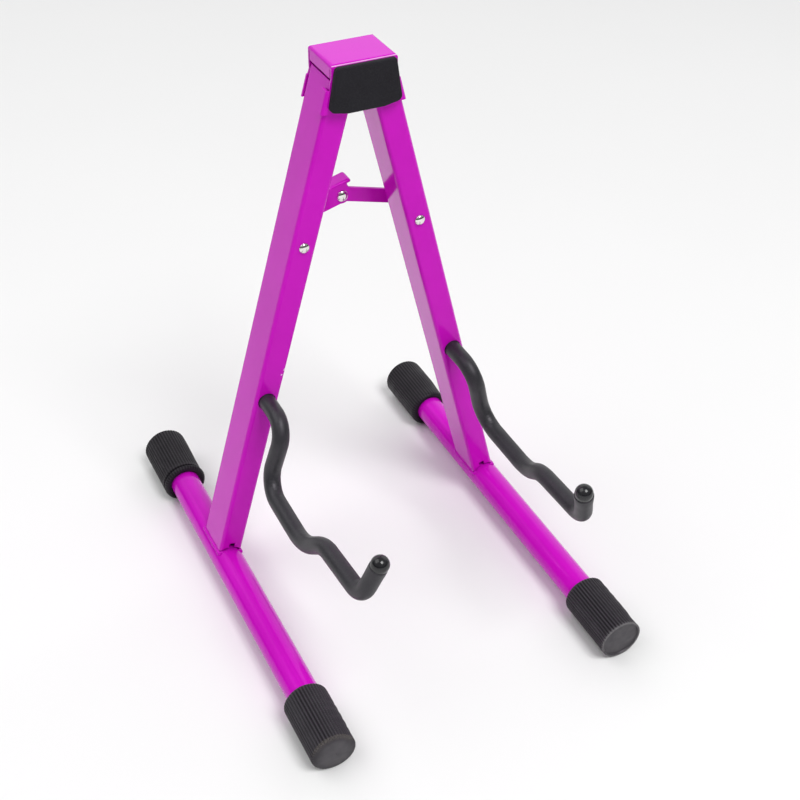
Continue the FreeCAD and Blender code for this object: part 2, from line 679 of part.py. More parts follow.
# ------------------------------------------------------------------ head
def head_bracket():
    # folded sheet: top, front and back plates, hanging side lips, tabs that
    # curl from the front plate round the legs' outer faces and stop them when
    # open, and flat ears on the back plate
    body = new_body("head_bracket")
    top, half = cell("head_top"), cell("head_half_width")
    sh, gap = cell("sheet"), cell("head_gap")
    depth = bracket_back - bracket_front
    tt, tb = cell("tab_top"), cell("tab_bottom")

    def leg_side(z):
        # the leg's outer face at height z, stand open
        return pivot_x + (cell("head_pivot_height") - z) * tangent(splay) + cell("leg_width") / 2 / cosine(splay)
    t_out = (cell("tab_gap") + sh) / cosine(splay)
    t_in = cell("tab_gap") / cosine(splay)
    inner_front, inner_back = bracket_front + sh, bracket_back - sh
    side_out = size(40.0)
    lip_in = half - sh

    # front collar with a tab at each end, its long front edges bent
    wrap_end = leg_front + cell("tab_wrap")
    sk = new_sketch(body, "XZ_Plane", "head_collar_section", -wrap_end)
    polygon(sk, [(-(leg_side(tt) + t_out), tt), (-(leg_side(tb) + t_out), tb),
                 (leg_side(tb) + t_out, tb), (leg_side(tt) + t_out, tt)])
    collar = pad(body, sk, wrap_end - bracket_front, "head_collar")
    doc.recompute()

    def bends(e):
        return (e.Curve.TypeId == "Part::GeomLine" and abs(mid(e).x) > 15 and abs(e.Curve.Direction.z) > 0.5
                and abs(mid(e).y - bracket_front.value) < 0.01)
    fillet(body, collar, bends, size(1.9), "head_tab_bends")
    doc.recompute()
    sk = new_sketch(body, "XZ_Plane", "head_collar_hollow_section", -inner_front)
    polygon(sk, [(-(leg_side(tt + 1) + t_in), tt + 1), (-(leg_side(tb - 1) + t_in), tb - 1),
                 (leg_side(tb - 1) + t_in, tb - 1), (leg_side(tt + 1) + t_in, tt + 1)])
    pocket(body, sk, cell("tab_wrap") + 2, "head_collar_hollow")
    # front plate between the collar and the cap, back plate with its ears
    neck = tt + 2.8
    lb = cell("lip_bottom")
    sk = new_sketch(body, "XZ_Plane", "head_front_plate_section", -(bracket_front + sh))
    polygon(sk, [(-half, lb + 1), (-half, lb), (-(leg_side(neck) + 1.2), neck), (-(leg_side(tt) + 0.2), tt),
                 (-(leg_side(tt) + 0.2), tt - 1), (leg_side(tt) + 0.2, tt - 1), (leg_side(tt) + 0.2, tt),
                 (leg_side(neck) + 1.2, neck), (half, lb), (half, lb + 1)])
    pad(body, sk, sh, "head_front_plate")
    doc.recompute()
    et, eb, past = cell("ear_top"), cell("ear_bottom"), cell("ear_past")
    sk = new_sketch(body, "XZ_Plane", "head_back_plate_section", -bracket_back)
    polygon(sk, [(-half, lb + 1), (-half, lb), (-(leg_side(et + 3) - 0.6), et + 3), (-(leg_side(et) - 0.6), et + 0.4),
                 (-(leg_side(et) + past), et), (-(leg_side(eb) + past), eb),
                 (leg_side(eb) + past, eb), (leg_side(et) + past, et),
                 (leg_side(et) - 0.6, et + 0.4), (leg_side(et + 3) - 0.6, et + 3), (half, lb), (half, lb + 1)])
    pad(body, sk, sh, "head_back_plate")
    doc.recompute()
    # the cap: top plate and side lips
    sk = new_sketch(body, "XZ_Plane", "head_cap_section", -bracket_back)
    polygon(sk, [(-half, top), (-half, cell("lip_bottom")), (half, cell("lip_bottom")), (half, top)])
    cap = pad(body, sk, depth, "head_cap")
    doc.recompute()

    def top_edges(e):
        return abs(mid(e).z - top.value) < 1e-6
    fillet(body, cap, top_edges, cell("head_edge_round"), "head_top_round")
    doc.recompute()
    sk = new_sketch(body, "XZ_Plane", "head_cap_hollow_section", -inner_front)
    polygon(sk, [(-lip_in, top - sh), (-lip_in, cell("lip_bottom") - 1), (lip_in, cell("lip_bottom") - 1),
                 (lip_in, top - sh)])
    pocket(body, sk, inner_back - inner_front, "head_cap_hollow")
    # slits that free the lips from the front and back plates
    for name, y in (("front", inner_front), ("back", inner_back - 0.8)):
        sk = new_sketch(body, "XZ_Plane", "head_%s_slit_section" % name, -y)
        polygon(sk, [(-side_out, top - 2.6), (-side_out, cell("lip_bottom") - 0.5), (-(half - 3), cell("lip_bottom") - 0.5),
                     (-(half - 3), top - 2.6)])
        polygon(sk, [(side_out, top - 2.6), (half - 3, top - 2.6), (half - 3, cell("lip_bottom") - 0.5),
                     (side_out, cell("lip_bottom") - 0.5)])
        pocket(body, sk, size(0.8), "head_%s_slit" % name)
    # pivot holes
    sk = new_sketch(body, "XZ_Plane", "head_pivot_holes", -(bracket_front - 1))
    for s in (-1, 1):
        circle(sk, pivot_x * s, cell("head_pivot_height"), cell("head_rivet_dia") / 2 + 0.02)
    f = pocket(body, sk, depth + 2, "head_pivots")
    body.Tip = f
    keep(body)


def head_pad():
    # foam plate on the bracket's front, recessed behind for the rivet heads
    body = new_body("head_pad")
    th = cell("pad_thickness")
    sk = new_sketch(body, "XZ_Plane", "head_pad_outline", -bracket_front)
    polygon(sk, [(-cell("pad_top_half"), cell("pad_top")), (-cell("pad_bottom_half"), cell("pad_shoulder")),
                 (-cell("pad_bottom_flat"), cell("pad_bottom")), (cell("pad_bottom_flat"), cell("pad_bottom")),
                 (cell("pad_bottom_half"), cell("pad_shoulder")), (cell("pad_top_half"), cell("pad_top"))])
    plate = pad(body, sk, th, "head_pad_plate")
    doc.recompute()
    f = fillet(body, plate, lambda e: straight(e, "y"), cell("pad_corner"), "head_pad_corners")
    doc.recompute()

    def rim(e):
        return abs(mid(e).y - (bracket_front - th).value) < 1e-6
    f = fillet(body, f, rim, size(1.1), "head_pad_rim")
    doc.recompute()
    sk = new_sketch(body, "XZ_Plane", "head_pad_recess_section", -(bracket_front + 0.5))
    for s in (-1, 1):
        circle(sk, pivot_x * s, cell("head_pivot_height"), cell("head_rivet_head_dia") / 2 + 0.2)
    f = pocket(body, sk, cell("head_rivet_head") + 0.7, "head_pad_recesses", reverse=True)
    body.Tip = f
    keep(body)


# ---------------------------------------------------------------- build
head_bracket()
head_pad()
head_rivets()
for side, s in SIDES:
    foot_tube(side, s)
    foot_cap(side, s, "front")
    foot_cap(side, s, "rear")
    leg(side, s)
    arm(side, s)
leg_rivets()
ring("left_link_washer", -link_pivot_x, link_pivot_z, leg_back, cell("washer_thick"),
     size(5.0), cell("rivet_dia") / 2 + cell("rivet_fit"))
ring("right_link_spacer", link_pivot_x, link_pivot_z, leg_back,
     cell("washer_thick") + cell("link_gap") + cell("link_sheet"), size(5.0),
     cell("rivet_dia") / 2 + cell("rivet_fit"))
left_link()
right_link()
centre_rivet()
doc.recompute()

# ---------------------------------------------------------------- checks
bad = [o.Name for o in doc.Objects if "Invalid" in o.State or "Error" in o.State]
if bad:
    raise RuntimeError("failed features: " + ", ".join(bad))
labels = [b.Label for b in NODES]
if len(set(labels)) != len(labels):
    raise RuntimeError("labels repeat")
for b in NODES:
    sh = b.Shape
    if sh.isNull() or not sh.isValid() or len(sh.Solids) != 1 or sh.Volume <= 0:
        raise RuntimeError("bad shape: " + b.Label)

os.makedirs("parts", exist_ok=True)
for b in NODES:
    b.Shape.exportStep("parts/%s.step" % b.Label)
print("link length %.3f, link angle %.3f, pivot x %.3f, link pivot %.3f %.3f, leg length %.3f"
      % (LINK, link_angle, pivot_x.value, link_pivot_x.value, link_pivot_z.value, leg_length.value))
print("%d nodes" % len(NODES))
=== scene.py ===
import math

import bmesh
import bpy
from mathutils import Matrix, Vector, noise


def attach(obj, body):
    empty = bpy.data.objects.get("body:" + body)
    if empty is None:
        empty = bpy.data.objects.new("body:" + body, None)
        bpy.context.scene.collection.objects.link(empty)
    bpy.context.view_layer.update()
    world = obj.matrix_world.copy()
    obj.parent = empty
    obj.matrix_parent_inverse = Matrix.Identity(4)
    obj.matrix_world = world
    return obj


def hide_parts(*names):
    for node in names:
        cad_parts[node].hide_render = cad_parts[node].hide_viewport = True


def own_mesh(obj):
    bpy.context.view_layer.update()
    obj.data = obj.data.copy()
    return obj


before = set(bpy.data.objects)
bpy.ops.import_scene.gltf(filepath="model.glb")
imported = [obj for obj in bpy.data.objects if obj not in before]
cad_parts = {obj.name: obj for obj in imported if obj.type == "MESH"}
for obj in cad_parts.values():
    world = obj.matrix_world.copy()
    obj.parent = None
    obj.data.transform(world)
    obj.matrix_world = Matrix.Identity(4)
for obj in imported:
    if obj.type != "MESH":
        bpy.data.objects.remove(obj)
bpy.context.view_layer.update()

MM = 0.001

# ------------------------------------------------------------ dimensions, mm
FOOT_HALF_GAP, AXLE, LEG_MID = 97.6, 14.8, 34.8
RIBS = 44   # on each foot cap
SPLAY = math.radians(15.0)
HALF_WIDTH, HALF_DEPTH = 7.75, 13.6
LEG_FRONT, LEG_BACK = LEG_MID - HALF_DEPTH, LEG_MID + HALF_DEPTH
BRACKET_FRONT, BRACKET_BACK = LEG_FRONT - 1.5, LEG_BACK + 1.5
PLATE_FRONT = LEG_BACK + 1.1
PLATE_BACK = PLATE_FRONT + 2.0
STRIP_FRONT = PLATE_BACK + 0.3
STRIP_BACK = STRIP_FRONT + 2.0
ROD_BACK = 4.3
ARM_ROOT = 127.4
RUNS = [13.5, 14.4, 29.0, 7.5, 31.0, 20.0]
BENDS = [13.6, 15.8, 29.6, 23.0, 12.5]
TURNS = [94.3, 93.3, 40.6, 35.2, 72.6]
SIGNS = (1, -1, -1, 1, -1)
LEG_LENGTH = 326.837
PIVOT_X, PIVOT_Z = 13.008, 330.5
LINK_X, LINK_Z, MID_Z = 37.182, 240.283, 250.6
SIDES = (("left", -1), ("right", 1))


def leg_frame(s):
    """The leg's own frame: origin on the foot tube's axis, Z up the leg."""
    return (Matrix.Translation(Vector((s * FOOT_HALF_GAP, LEG_MID, AXLE)) * MM)
            @ Matrix.Rotation(SPLAY, 4, Vector((0, -s, 0))))


# ------------------------------------------------------------------- camera
def make_camera():
    az, el, roll = math.radians(-27.96), math.radians(38.58), math.radians(1.59)
    back = Vector((math.sin(az) * math.cos(el), -math.cos(az) * math.cos(el), math.sin(el)))
    right0 = Vector((0, 0, 1)).cross(back).normalized()
    up0 = back.cross(right0)
    right = math.cos(roll) * right0 + math.sin(roll) * up0
    up = -math.sin(roll) * right0 + math.cos(roll) * up0
    data = bpy.data.cameras.new("camera")
    data.sensor_fit = "HORIZONTAL"
    data.sensor_width = 36.0
    data.lens = 36.0 * 1296.57 / 800.0
    data.clip_start, data.clip_end = 0.01, 50.0
    cam = bpy.data.objects.new("camera", data)
    m = Matrix((right, up, back)).transposed().to_4x4()
    m.translation = Vector((-0.28237, -0.56229, 0.63438))
    cam.matrix_world = m
    bpy.context.scene.collection.objects.link(cam)
    bpy.context.scene.camera = cam


# ---------------------------------------------------------------- materials
class Nodes:
    """A small helper for building a material's node tree."""

    def __init__(self, name):
        self.mat = bpy.data.materials.new(name)
        self.mat.use_nodes = True
        self.tree = self.mat.node_tree
        self.tree.nodes.clear()
        self.out = self.tree.nodes.new("ShaderNodeOutputMaterial")
        self.bsdf = self.tree.nodes.new("ShaderNodeBsdfPrincipled")
        self.link(self.bsdf.outputs[0], self.out.inputs["Surface"])
        self.coord = self.tree.nodes.new("ShaderNodeTexCoord").outputs["Object"]

    def link(self, a, b):
        self.tree.links.new(a, b)

    def put(self, socket, value):
        if hasattr(value, "links"):
            self.link(value, socket)
        else:
            socket.default_value = value

    def noise(self, scale, detail=4.0, rough=0.5, vector=None, stretch=None, distortion=0.0):
        n = self.tree.nodes.new("ShaderNodeTexNoise")
        n.inputs["Scale"].default_value = scale
        n.inputs["Detail"].default_value = detail
        n.inputs["Roughness"].default_value = rough
        n.inputs["Distortion"].default_value = distortion
        v = self.coord if vector is None else vector
        if stretch is not None:
            v = self.mapping(v, stretch)
        self.link(v, n.inputs["Vector"])
        return n.outputs["Fac"]

    def mapping(self, vector, scale, rotation=(0, 0, 0), location=(0, 0, 0)):
        m = self.tree.nodes.new("ShaderNodeMapping")
        m.inputs["Scale"].default_value = scale
        m.inputs["Rotation"].default_value = rotation
        m.inputs["Location"].default_value = location
        self.link(vector, m.inputs["Vector"])
        return m.outputs["Vector"]

    def voronoi(self, scale, feature="F1", vector=None):
        n = self.tree.nodes.new("ShaderNodeTexVoronoi")
        n.feature = feature
        n.inputs["Scale"].default_value = scale
        self.link(self.coord if vector is None else vector, n.inputs["Vector"])
        return n.outputs["Distance"]

    def ramp(self, fac, stops):
        n = self.tree.nodes.new("ShaderNodeValToRGB")
        while len(n.color_ramp.elements) < len(stops):
            n.color_ramp.elements.new(0.5)
        for e, (p, c) in zip(n.color_ramp.elements, stops):
            e.position = p
            e.color = c if len(c) == 4 else (*c, 1.0)
        self.link(fac, n.inputs["Fac"])
        return n.outputs["Color"]

    def range(self, value, a, b, c, d, smooth=False):
        n = self.tree.nodes.new("ShaderNodeMapRange")
        if smooth:
            n.interpolation_type = "SMOOTHSTEP"
        for i, v in zip(("From Min", "From Max", "To Min", "To Max"), (a, b, c, d)):
            n.inputs[i].default_value = v
        self.link(value, n.inputs["Value"])
        return n.outputs["Result"]

    def mix(self, fac, a, b):
        n = self.tree.nodes.new("ShaderNodeMix")
        n.data_type = "RGBA"
        self.put(n.inputs[0], fac)
        self.put(n.inputs[6], a if hasattr(a, "links") else (*a, 1.0) if len(a) == 3 else a)
        self.put(n.inputs[7], b if hasattr(b, "links") else (*b, 1.0) if len(b) == 3 else b)
        return n.outputs[2]

    def math(self, op, a, b=0.0, clamp=False):
        n = self.tree.nodes.new("ShaderNodeMath")
        n.operation = op
        n.use_clamp = clamp
        self.put(n.inputs[0], a)
        self.put(n.inputs[1], b)
        return n.outputs[0]

    def xyz(self, vector=None):
        n = self.tree.nodes.new("ShaderNodeSeparateXYZ")
        self.link(self.coord if vector is None else vector, n.inputs[0])
        return n.outputs

    def bump(self, height, strength, distance, normal=None):
        n = self.tree.nodes.new("ShaderNodeBump")
        n.inputs["Strength"].default_value = strength
        n.inputs["Distance"].default_value = distance
        self.link(height, n.inputs["Height"])
        if normal is not None:
            self.link(normal, n.inputs["Normal"])
        return n.outputs["Normal"]

    def set(self, **values):
        names = {"color": "Base Color", "rough": "Roughness", "metal": "Metallic", "normal": "Normal",
                 "ior": "IOR", "coat": "Coat Weight", "coat_rough": "Coat Roughness", "coat_ior": "Coat IOR",
                 "sheen": "Sheen Weight", "sheen_rough": "Sheen Roughness", "spec": "Specular IOR Level",
                 "coat_normal": "Coat Normal", "tint": "Specular Tint"}
        for key, v in values.items():
            self.put(self.bsdf.inputs[names[key]], v)
        return self.mat


def paint(name="purple_paint", drawn=False, chips=(), fold=None):
    """Glossy coat. drawn adds the faint lines along a drawn tube; chips are
    (x, y, z, radius) spots in metres where the coat is knocked off. fold is the
    (y, z) of a folded edge along x, in metres, that gets a painted highlight."""
    n = Nodes(name)
    broad = n.noise(26.0, 3.0, 0.55)
    fine = n.noise(420.0, 2.0, 0.5)
    tone = n.mix(n.range(broad, 0.3, 0.7, 0.0, 1.0), (0.575, 0.0042, 0.505), (0.625, 0.0058, 0.550))
    tone = n.mix(n.range(fine, 0.35, 0.65, 0.0, 0.08), tone, (0.68, 0.010, 0.60))
    peel = n.noise(300.0, 2.0, 0.45)
    normal = n.bump(peel, 0.045, 0.0001)
    if drawn:
        lines = n.noise(620.0, 3.0, 0.6, stretch=(1.0, 0.012, 1.0))
        normal = n.bump(lines, 0.10, 0.0001, normal)
        tone = n.mix(n.range(lines, 0.50, 0.72, 0.0, 0.30), tone, (0.40, 0.003, 0.36))
    for x, y, z, r in chips:
        d = n.tree.nodes.new("ShaderNodeVectorMath")
        d.operation = "DISTANCE"
        n.link(n.coord, d.inputs[0])
        d.inputs[1].default_value = (x, y, z)
        ragged = n.math("ADD", d.outputs["Value"], n.range(n.noise(1300.0, 3.0, 0.6), 0.3, 0.7, -0.35 * r, 0.35 * r))
        tone = n.mix(n.range(ragged, r, 0.75 * r, 0.0, 0.85), tone, (0.86, 0.62, 0.84))
    if fold:
        x, y, z = n.xyz()
        # painted highlight: a patchy near-white line along the bracket's front fold, standing in for the light its
        # bend catches
        painted_fold_highlight = n.math("MULTIPLY", n.range(y, fold[0] + 0.00085, fold[0] + 0.0006, 0.0, 1.0),
                        n.range(z, fold[1] - 0.0009, fold[1] - 0.0006, 0.0, 1.0))
        painted_fold_highlight = n.math("MULTIPLY", painted_fold_highlight, n.range(n.noise(210.0, 3.0, 0.6), 0.3, 0.7, 0.72, 1.0))
        tone = n.mix(painted_fold_highlight, tone, (0.97, 0.68, 0.95))
    rough = n.range(n.noise(90.0, 4.0, 0.6), 0.3, 0.7, 0.09, 0.14)
    return n.set(color=tone, rough=rough, normal=normal, ior=1.45, tint=(1.0, 0.22, 0.92, 1.0))


def weld():
    n = Nodes("weld_paint")
    fine = n.noise(500.0, 3.0, 0.6)
    tone = n.mix(n.range(fine, 0.3, 0.7, 0.0, 1.0), (0.52, 0.004, 0.46), (0.62, 0.006, 0.55))
    normal = n.bump(n.noise(1100.0, 2.0, 0.5), 0.15, 0.00008)
    return n.set(color=tone, rough=n.range(fine, 0.3, 0.7, 0.16, 0.24), normal=normal, ior=1.45,
                 tint=(1.0, 0.22, 0.92, 1.0))


def foam_sleeve():
    n = Nodes("foam_sleeve")
    broad = n.noise(60.0, 3.0, 0.5)
    grain = n.noise(1500.0, 4.0, 0.7)
    cells = n.voronoi(3600.0)
    tone = n.mix(n.range(broad, 0.35, 0.65, 0.0, 1.0), (0.014, 0.014, 0.0165), (0.021, 0.021, 0.0245))
    tone = n.mix(n.range(grain, 0.45, 0.70, 0.0, 0.6), tone, (0.046, 0.045, 0.052))
    normal = n.bump(grain, 0.35, 0.00006)
    normal = n.bump(cells, 0.18, 0.00003, normal)
    rough = n.range(n.noise(45.0, 3.0, 0.6), 0.3, 0.7, 0.38, 0.52)
    return n.set(color=tone, rough=rough, normal=normal, spec=0.46, sheen=0.025, sheen_rough=0.4,
                 tint=(0.97, 0.91, 1.0, 1.0))


def tip_plastic():
    n = Nodes("tip_plastic")
    cloud = n.noise(240.0, 3.0, 0.5)
    tone = n.mix(n.range(cloud, 0.3, 0.7, 0.0, 1.0), (0.008, 0.008, 0.010), (0.015, 0.015, 0.018))
    normal = n.bump(n.noise(900.0, 2.0, 0.5), 0.05, 0.00005)
    return n.set(color=tone, rough=n.range(cloud, 0.3, 0.7, 0.15, 0.23), normal=normal)


def foam_pad():
    n = Nodes("foam_pad")
    broad = n.noise(110.0, 4.0, 0.6)
    grain = n.noise(1900.0, 4.0, 0.7)
    cells = n.voronoi(2600.0)
    tone = n.mix(n.range(broad, 0.3, 0.7, 0.0, 1.0), (0.008, 0.008, 0.010), (0.014, 0.014, 0.017))
    tone = n.mix(n.range(grain, 0.45, 0.75, 0.0, 0.5), tone, (0.038, 0.038, 0.042))
    normal = n.bump(grain, 0.55, 0.00012)
    normal = n.bump(cells, 0.4, 0.00008, normal)
    return n.set(color=tone, rough=n.range(broad, 0.3, 0.7, 0.78, 0.92), normal=normal, spec=0.25, sheen=0.03,
                 sheen_rough=0.5, tint=(0.95, 0.86, 1.0, 1.0))


def cap_rubber(name="cap_rubber", spec=0.36):
    n = Nodes(name)
    broad = n.noise(70.0, 4.0, 0.6)
    grain = n.noise(1600.0, 3.0, 0.65)
    tone = n.mix(n.range(broad, 0.3, 0.7, 0.0, 1.0), (0.013, 0.011, 0.015), (0.022, 0.019, 0.025))
    tone = n.mix(n.range(grain, 0.4, 0.75, 0.0, 0.3), tone, (0.046, 0.042, 0.046))
    x, y, z = n.xyz()
    # painted shade: the rear pair is darkened towards black
    tone = n.mix(n.range(y, 0.08, 0.12, 0.0, 0.55, smooth=True), tone, (0.003, 0.0025, 0.004))
    # painted light: the front end faces, which face the lamps, are lightened grey, patchily
    painted_end_face_light = n.math("MULTIPLY", n.range(y, -0.1474, -0.1486, 0.0, 1.0, smooth=True),
                   n.range(n.noise(140.0, 4.0, 0.6), 0.3, 0.7, 0.55, 1.0))
    tone = n.mix(painted_end_face_light, tone, (0.074, 0.070, 0.076))
    # the right front cap's sharp rim, lighter grey
    across = n.math("SUBTRACT", n.math("ABSOLUTE", x), FOOT_HALF_GAP * MM)
    above = n.math("SUBTRACT", z, AXLE * MM)
    away = n.math("SQRT", n.math("ADD", n.math("MULTIPLY", across, across), n.math("MULTIPLY", above, above)))
    # painted shade and highlight: the ribs' grooves are darkened black and their crests lightened grey
    turn = n.math("MULTIPLY", n.math("ARCTAN2", above, across), float(RIBS))
    crest = n.math("COSINE", turn, 0.0)
    wall = n.range(away, 0.0128, 0.0136, 0.0, 1.0)
    tone = n.mix(n.math("MULTIPLY", wall, n.range(crest, 0.1, -0.8, 0.0, 0.8)), tone, (0.002, 0.0018, 0.0024))
    tone = n.mix(n.math("MULTIPLY", wall, n.range(crest, 0.1, 0.9, 0.0, 0.4)), tone, (0.052, 0.048, 0.054))
    light_rim = n.math("MULTIPLY", n.range(y, -0.1489, -0.1494, 0.0, 1.0), n.range(away, 0.0130, 0.0136, 0.0, 1.0))
    light_rim = n.math("MULTIPLY", light_rim, n.range(x, 0.0, 0.01, 0.0, 1.0))
    light_rim = n.math("MULTIPLY", light_rim, n.range(n.noise(500.0, 3.0, 0.6), 0.3, 0.7, 0.5, 1.0))
    tone = n.mix(light_rim, tone, (0.16, 0.155, 0.16))
    # dust that gathers along the upper rim of the left front cap
    rim = n.math("MULTIPLY", n.range(y, -0.1458, -0.1466, 0.0, 1.0, smooth=True),
                 n.range(y, -0.1480, -0.1472, 0.0, 1.0, smooth=True))
    upper = n.math("MULTIPLY", n.range(z, 0.016, 0.024, 0.0, 1.0, smooth=True), n.range(x, 0.0, -0.01, 0.0, 1.0))
    speck = n.range(n.noise(2400.0, 3.0, 0.7), 0.42, 0.66, 0.0, 0.75)
    tone = n.mix(n.math("MULTIPLY", n.math("MULTIPLY", rim, upper), speck), tone, (0.17, 0.15, 0.125))
    normal = n.bump(grain, 0.4, 0.00006)
    rough = n.range(n.noise(160.0, 3.0, 0.6), 0.3, 0.7, 0.42, 0.58)
    return n.set(color=tone, rough=rough, normal=normal, spec=spec, tint=(0.97, 0.90, 1.0, 1.0))


def metal(name, dark, light, lo, hi, scratches):
    n = Nodes(name)
    broad = n.noise(180.0, 4.0, 0.6)
    fine = n.noise(1400.0, 3.0, 0.6, stretch=(1.0, 0.12, 1.0)) if scratches else n.noise(900.0, 3.0, 0.5)
    tone = n.mix(n.range(broad, 0.3, 0.7, 0.0, 1.0), dark, light)
    return n.set(color=tone, metal=1.0, rough=n.range(fine, 0.3, 0.7, lo, hi), normal=n.bump(fine, 0.08, 0.00003))


def backdrop():
    n = Nodes("floor_pale")
    cloud = n.noise(3.0, 3.0, 0.5)
    tone = n.mix(n.range(cloud, 0.3, 0.7, 0.0, 1.0), (0.855, 0.855, 0.855), (0.865, 0.865, 0.865))
    return n.set(color=tone, rough=0.85, spec=0.1)


def on_leg(s, x, y, z):
    """A point given in the leg's own frame, mm, in the stand's frame, m."""
    p = leg_frame(s) @ (Vector((x, y, z)) * MM)
    return (p.x, p.y, p.z)


# small knocks on the left leg's inner front edge, above the arm
CHIPS = ((*on_leg(-1, 6.9, -13.4, 150.0), 0.0011), (*on_leg(-1, 5.7, -13.6, 146.6), 0.0006))

MATS = {
    "purple_paint": paint(), "tube_paint": paint("tube_paint", drawn=True),
    "leg_paint": paint("leg_paint", chips=CHIPS), "weld": weld(), "foam_sleeve": foam_sleeve(), "tip_plastic": tip_plastic(),
    "foam_pad": foam_pad(), "cap_rubber": cap_rubber(), "rear_cap_rubber": cap_rubber("rear_cap_rubber", 0.21),
    "bracket_paint": paint("bracket_paint", fold=(BRACKET_FRONT * MM, 347.6 * MM)),
    "zinc_steel": metal("zinc_steel", (0.52, 0.53, 0.56), (0.68, 0.69, 0.71), 0.22, 0.36, True),
    "rivet_plate": metal("rivet_plate", (0.70, 0.69, 0.66), (0.82, 0.81, 0.78), 0.07, 0.14, False),
    "floor": backdrop(),
}


# -------------------------------------------------------------------- mesh
def finish_mesh(name, bm, body, slot, replaces=(), material=None, smooth=35.0):
    """Turns a bmesh, in metres in the stand's frame, into a riding piece."""
    bmesh.ops.recalc_face_normals(bm, faces=bm.faces)
    me = bpy.data.meshes.new(name)
    bm.to_mesh(me)
    bm.free()
    me.materials.append(MATS[material or slot])
    for p in me.polygons:
        p.use_smooth = True
    me.set_sharp_from_angle(angle=math.radians(smooth))
    ob = bpy.data.objects.new(name, me)
    bpy.context.scene.collection.objects.link(ob)
    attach(ob, body)
    if replaces:
        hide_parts(*replaces)
    return ob


def grid_surface(bm, rings, close_start=True, close_end=True):
    """Skins closed rings of equal length, each a list of Vectors."""
    made = [[bm.verts.new(p) for p in ring] for ring in rings]
    n = len(rings[0])
    for a, b in zip(made, made[1:]):
        for i in range(n):
            j = (i + 1) % n
            bm.faces.new((a[i], a[j], b[j], b[i]))
    if close_start:
        bm.faces.new(list(reversed(made[0])))
    if close_end:
        bm.faces.new(made[-1])
    return made


def lathe(bm, profile, matrix, count=64):
    """Revolves (radius, height) pairs, mm, about Z, then places them. A pair
    whose radius is 0 becomes one pole vertex."""
    rings = []
    for r, h in profile:
        if r < 1e-6:
            rings.append([bm.verts.new(matrix @ (Vector((0, 0, h)) * MM))])
        else:
            rings.append([bm.verts.new(matrix @ (Vector((r * math.cos(2 * math.pi * i / count),
                                                         r * math.sin(2 * math.pi * i / count), h)) * MM))
                          for i in range(count)])
    for a, b in zip(rings, rings[1:]):
        for i in range(count):
            j = (i + 1) % count
            if len(a) == 1 and len(b) == 1:
                break
            if len(a) == 1:
                bm.faces.new((a[0], b[j], b[i]))
            elif len(b) == 1:
                bm.faces.new((a[i], a[j], b[0]))
            else:
                bm.faces.new((a[i], a[j], b[j], b[i]))
    if len(rings[0]) > 1 and len(rings[-1]) > 1:
        # an open profile is closed onto itself
        a, b = rings[-1], rings[0]
        for i in range(count):
            j = (i + 1) % count
            bm.faces.new((a[i], a[j], b[j], b[i]))


def arc_points(cx, cz, r, a0, a1, count):
    """(radius, height) pairs along an arc, angles in degrees."""
    out = []
    for i in range(count + 1):
        a = math.radians(a0 + (a1 - a0) * i / count)
        out.append((cx + r * math.cos(a), cz + r * math.sin(a)))
    return out


def along_y(x, z, sign=1):
    """Places a lathe so that its Z runs along the stand's +Y."""
    return Matrix.Translation(Vector((x, 0, z)) * MM) @ Matrix.Rotation(-math.pi / 2 * sign, 4, "X")


def bake(ob, name):
    """Replaces an object's mesh by the result of its modifiers."""
    bpy.context.view_layer.update()
    dg = bpy.context.evaluated_depsgraph_get()
    done = bpy.data.meshes.new_from_object(ob.evaluated_get(dg))
    ob.modifiers.clear()
    old = ob.data
    ob.data = done
    bpy.data.meshes.remove(old)
    done.name = name


def refined(name, node, body, slot, width, segments=2, angle=38.0, material=None):
    """A node's shape with its hard edges eased, so that they catch light."""
    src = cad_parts[node]
    bm = bmesh.new()
    bm.from_mesh(src.data)
    bmesh.ops.remove_doubles(bm, verts=bm.verts, dist=2e-6)
    bmesh.ops.dissolve_limit(bm, angle_limit=math.radians(0.6), verts=bm.verts, edges=bm.edges)
    edges = [e for e in bm.edges if len(e.link_faces) == 2 and e.calc_face_angle(0.0) > math.radians(angle)]
    bmesh.ops.bevel(bm, geom=edges, offset=width * MM, offset_type="OFFSET", segments=segments, profile=0.5,
                    affect="EDGES", clamp_overlap=True)
    bmesh.ops.remove_doubles(bm, verts=bm.verts, dist=1e-6)
    ob = finish_mesh(name, bm, body, slot, (node,), material)
    # large flat faces keep flat shading beside their eased edges
    mod = ob.modifiers.new("weighted", "WEIGHTED_NORMAL")
    mod.mode = "FACE_AREA"
    mod.weight = 90
    mod.keep_sharp = True
    bake(ob, name)
    return ob


# ------------------------------------------------------------------- camera
make_camera()


# -------------------------------------------------------------- arm centre
def centreline(start_y, first_run, last_run, step):
    """Samples of the bent rod's centre in the leg's frame: y, z, direction,
    signed curvature and the length so far, mm."""
    runs = [first_run] + RUNS[1:5] + [last_run]
    y, z, a, length = start_y, ARM_ROOT, math.pi, 0.0
    out = [(y, z, a, 0.0, 0.0)]
    for i in range(6):
        n = max(1, int(math.ceil(runs[i] / step)))
        y0, z0 = y, z
        for k in range(1, n + 1):
            t = runs[i] * k / n
            y, z = y0 + math.cos(a) * t, z0 + math.sin(a) * t
            out.append((y, z, a, 0.0, length + t))
        length += runs[i]
        if i < 5:
            sg, r, turn = SIGNS[i], BENDS[i], math.radians(TURNS[i])
            cy, cz = y - sg * r * math.sin(a), z + sg * r * math.cos(a)
            n = max(8, int(math.ceil(r * turn / step)))
            a0 = a
            for k in range(1, n + 1):
                b = a0 + sg * turn * k / n
                y, z = cy + sg * r * math.sin(b), cz - sg * r * math.cos(b)
                out.append((y, z, b, sg / r, length + r * turn * k / n))
            a = a0 + sg * turn
            length += r * turn
    return out


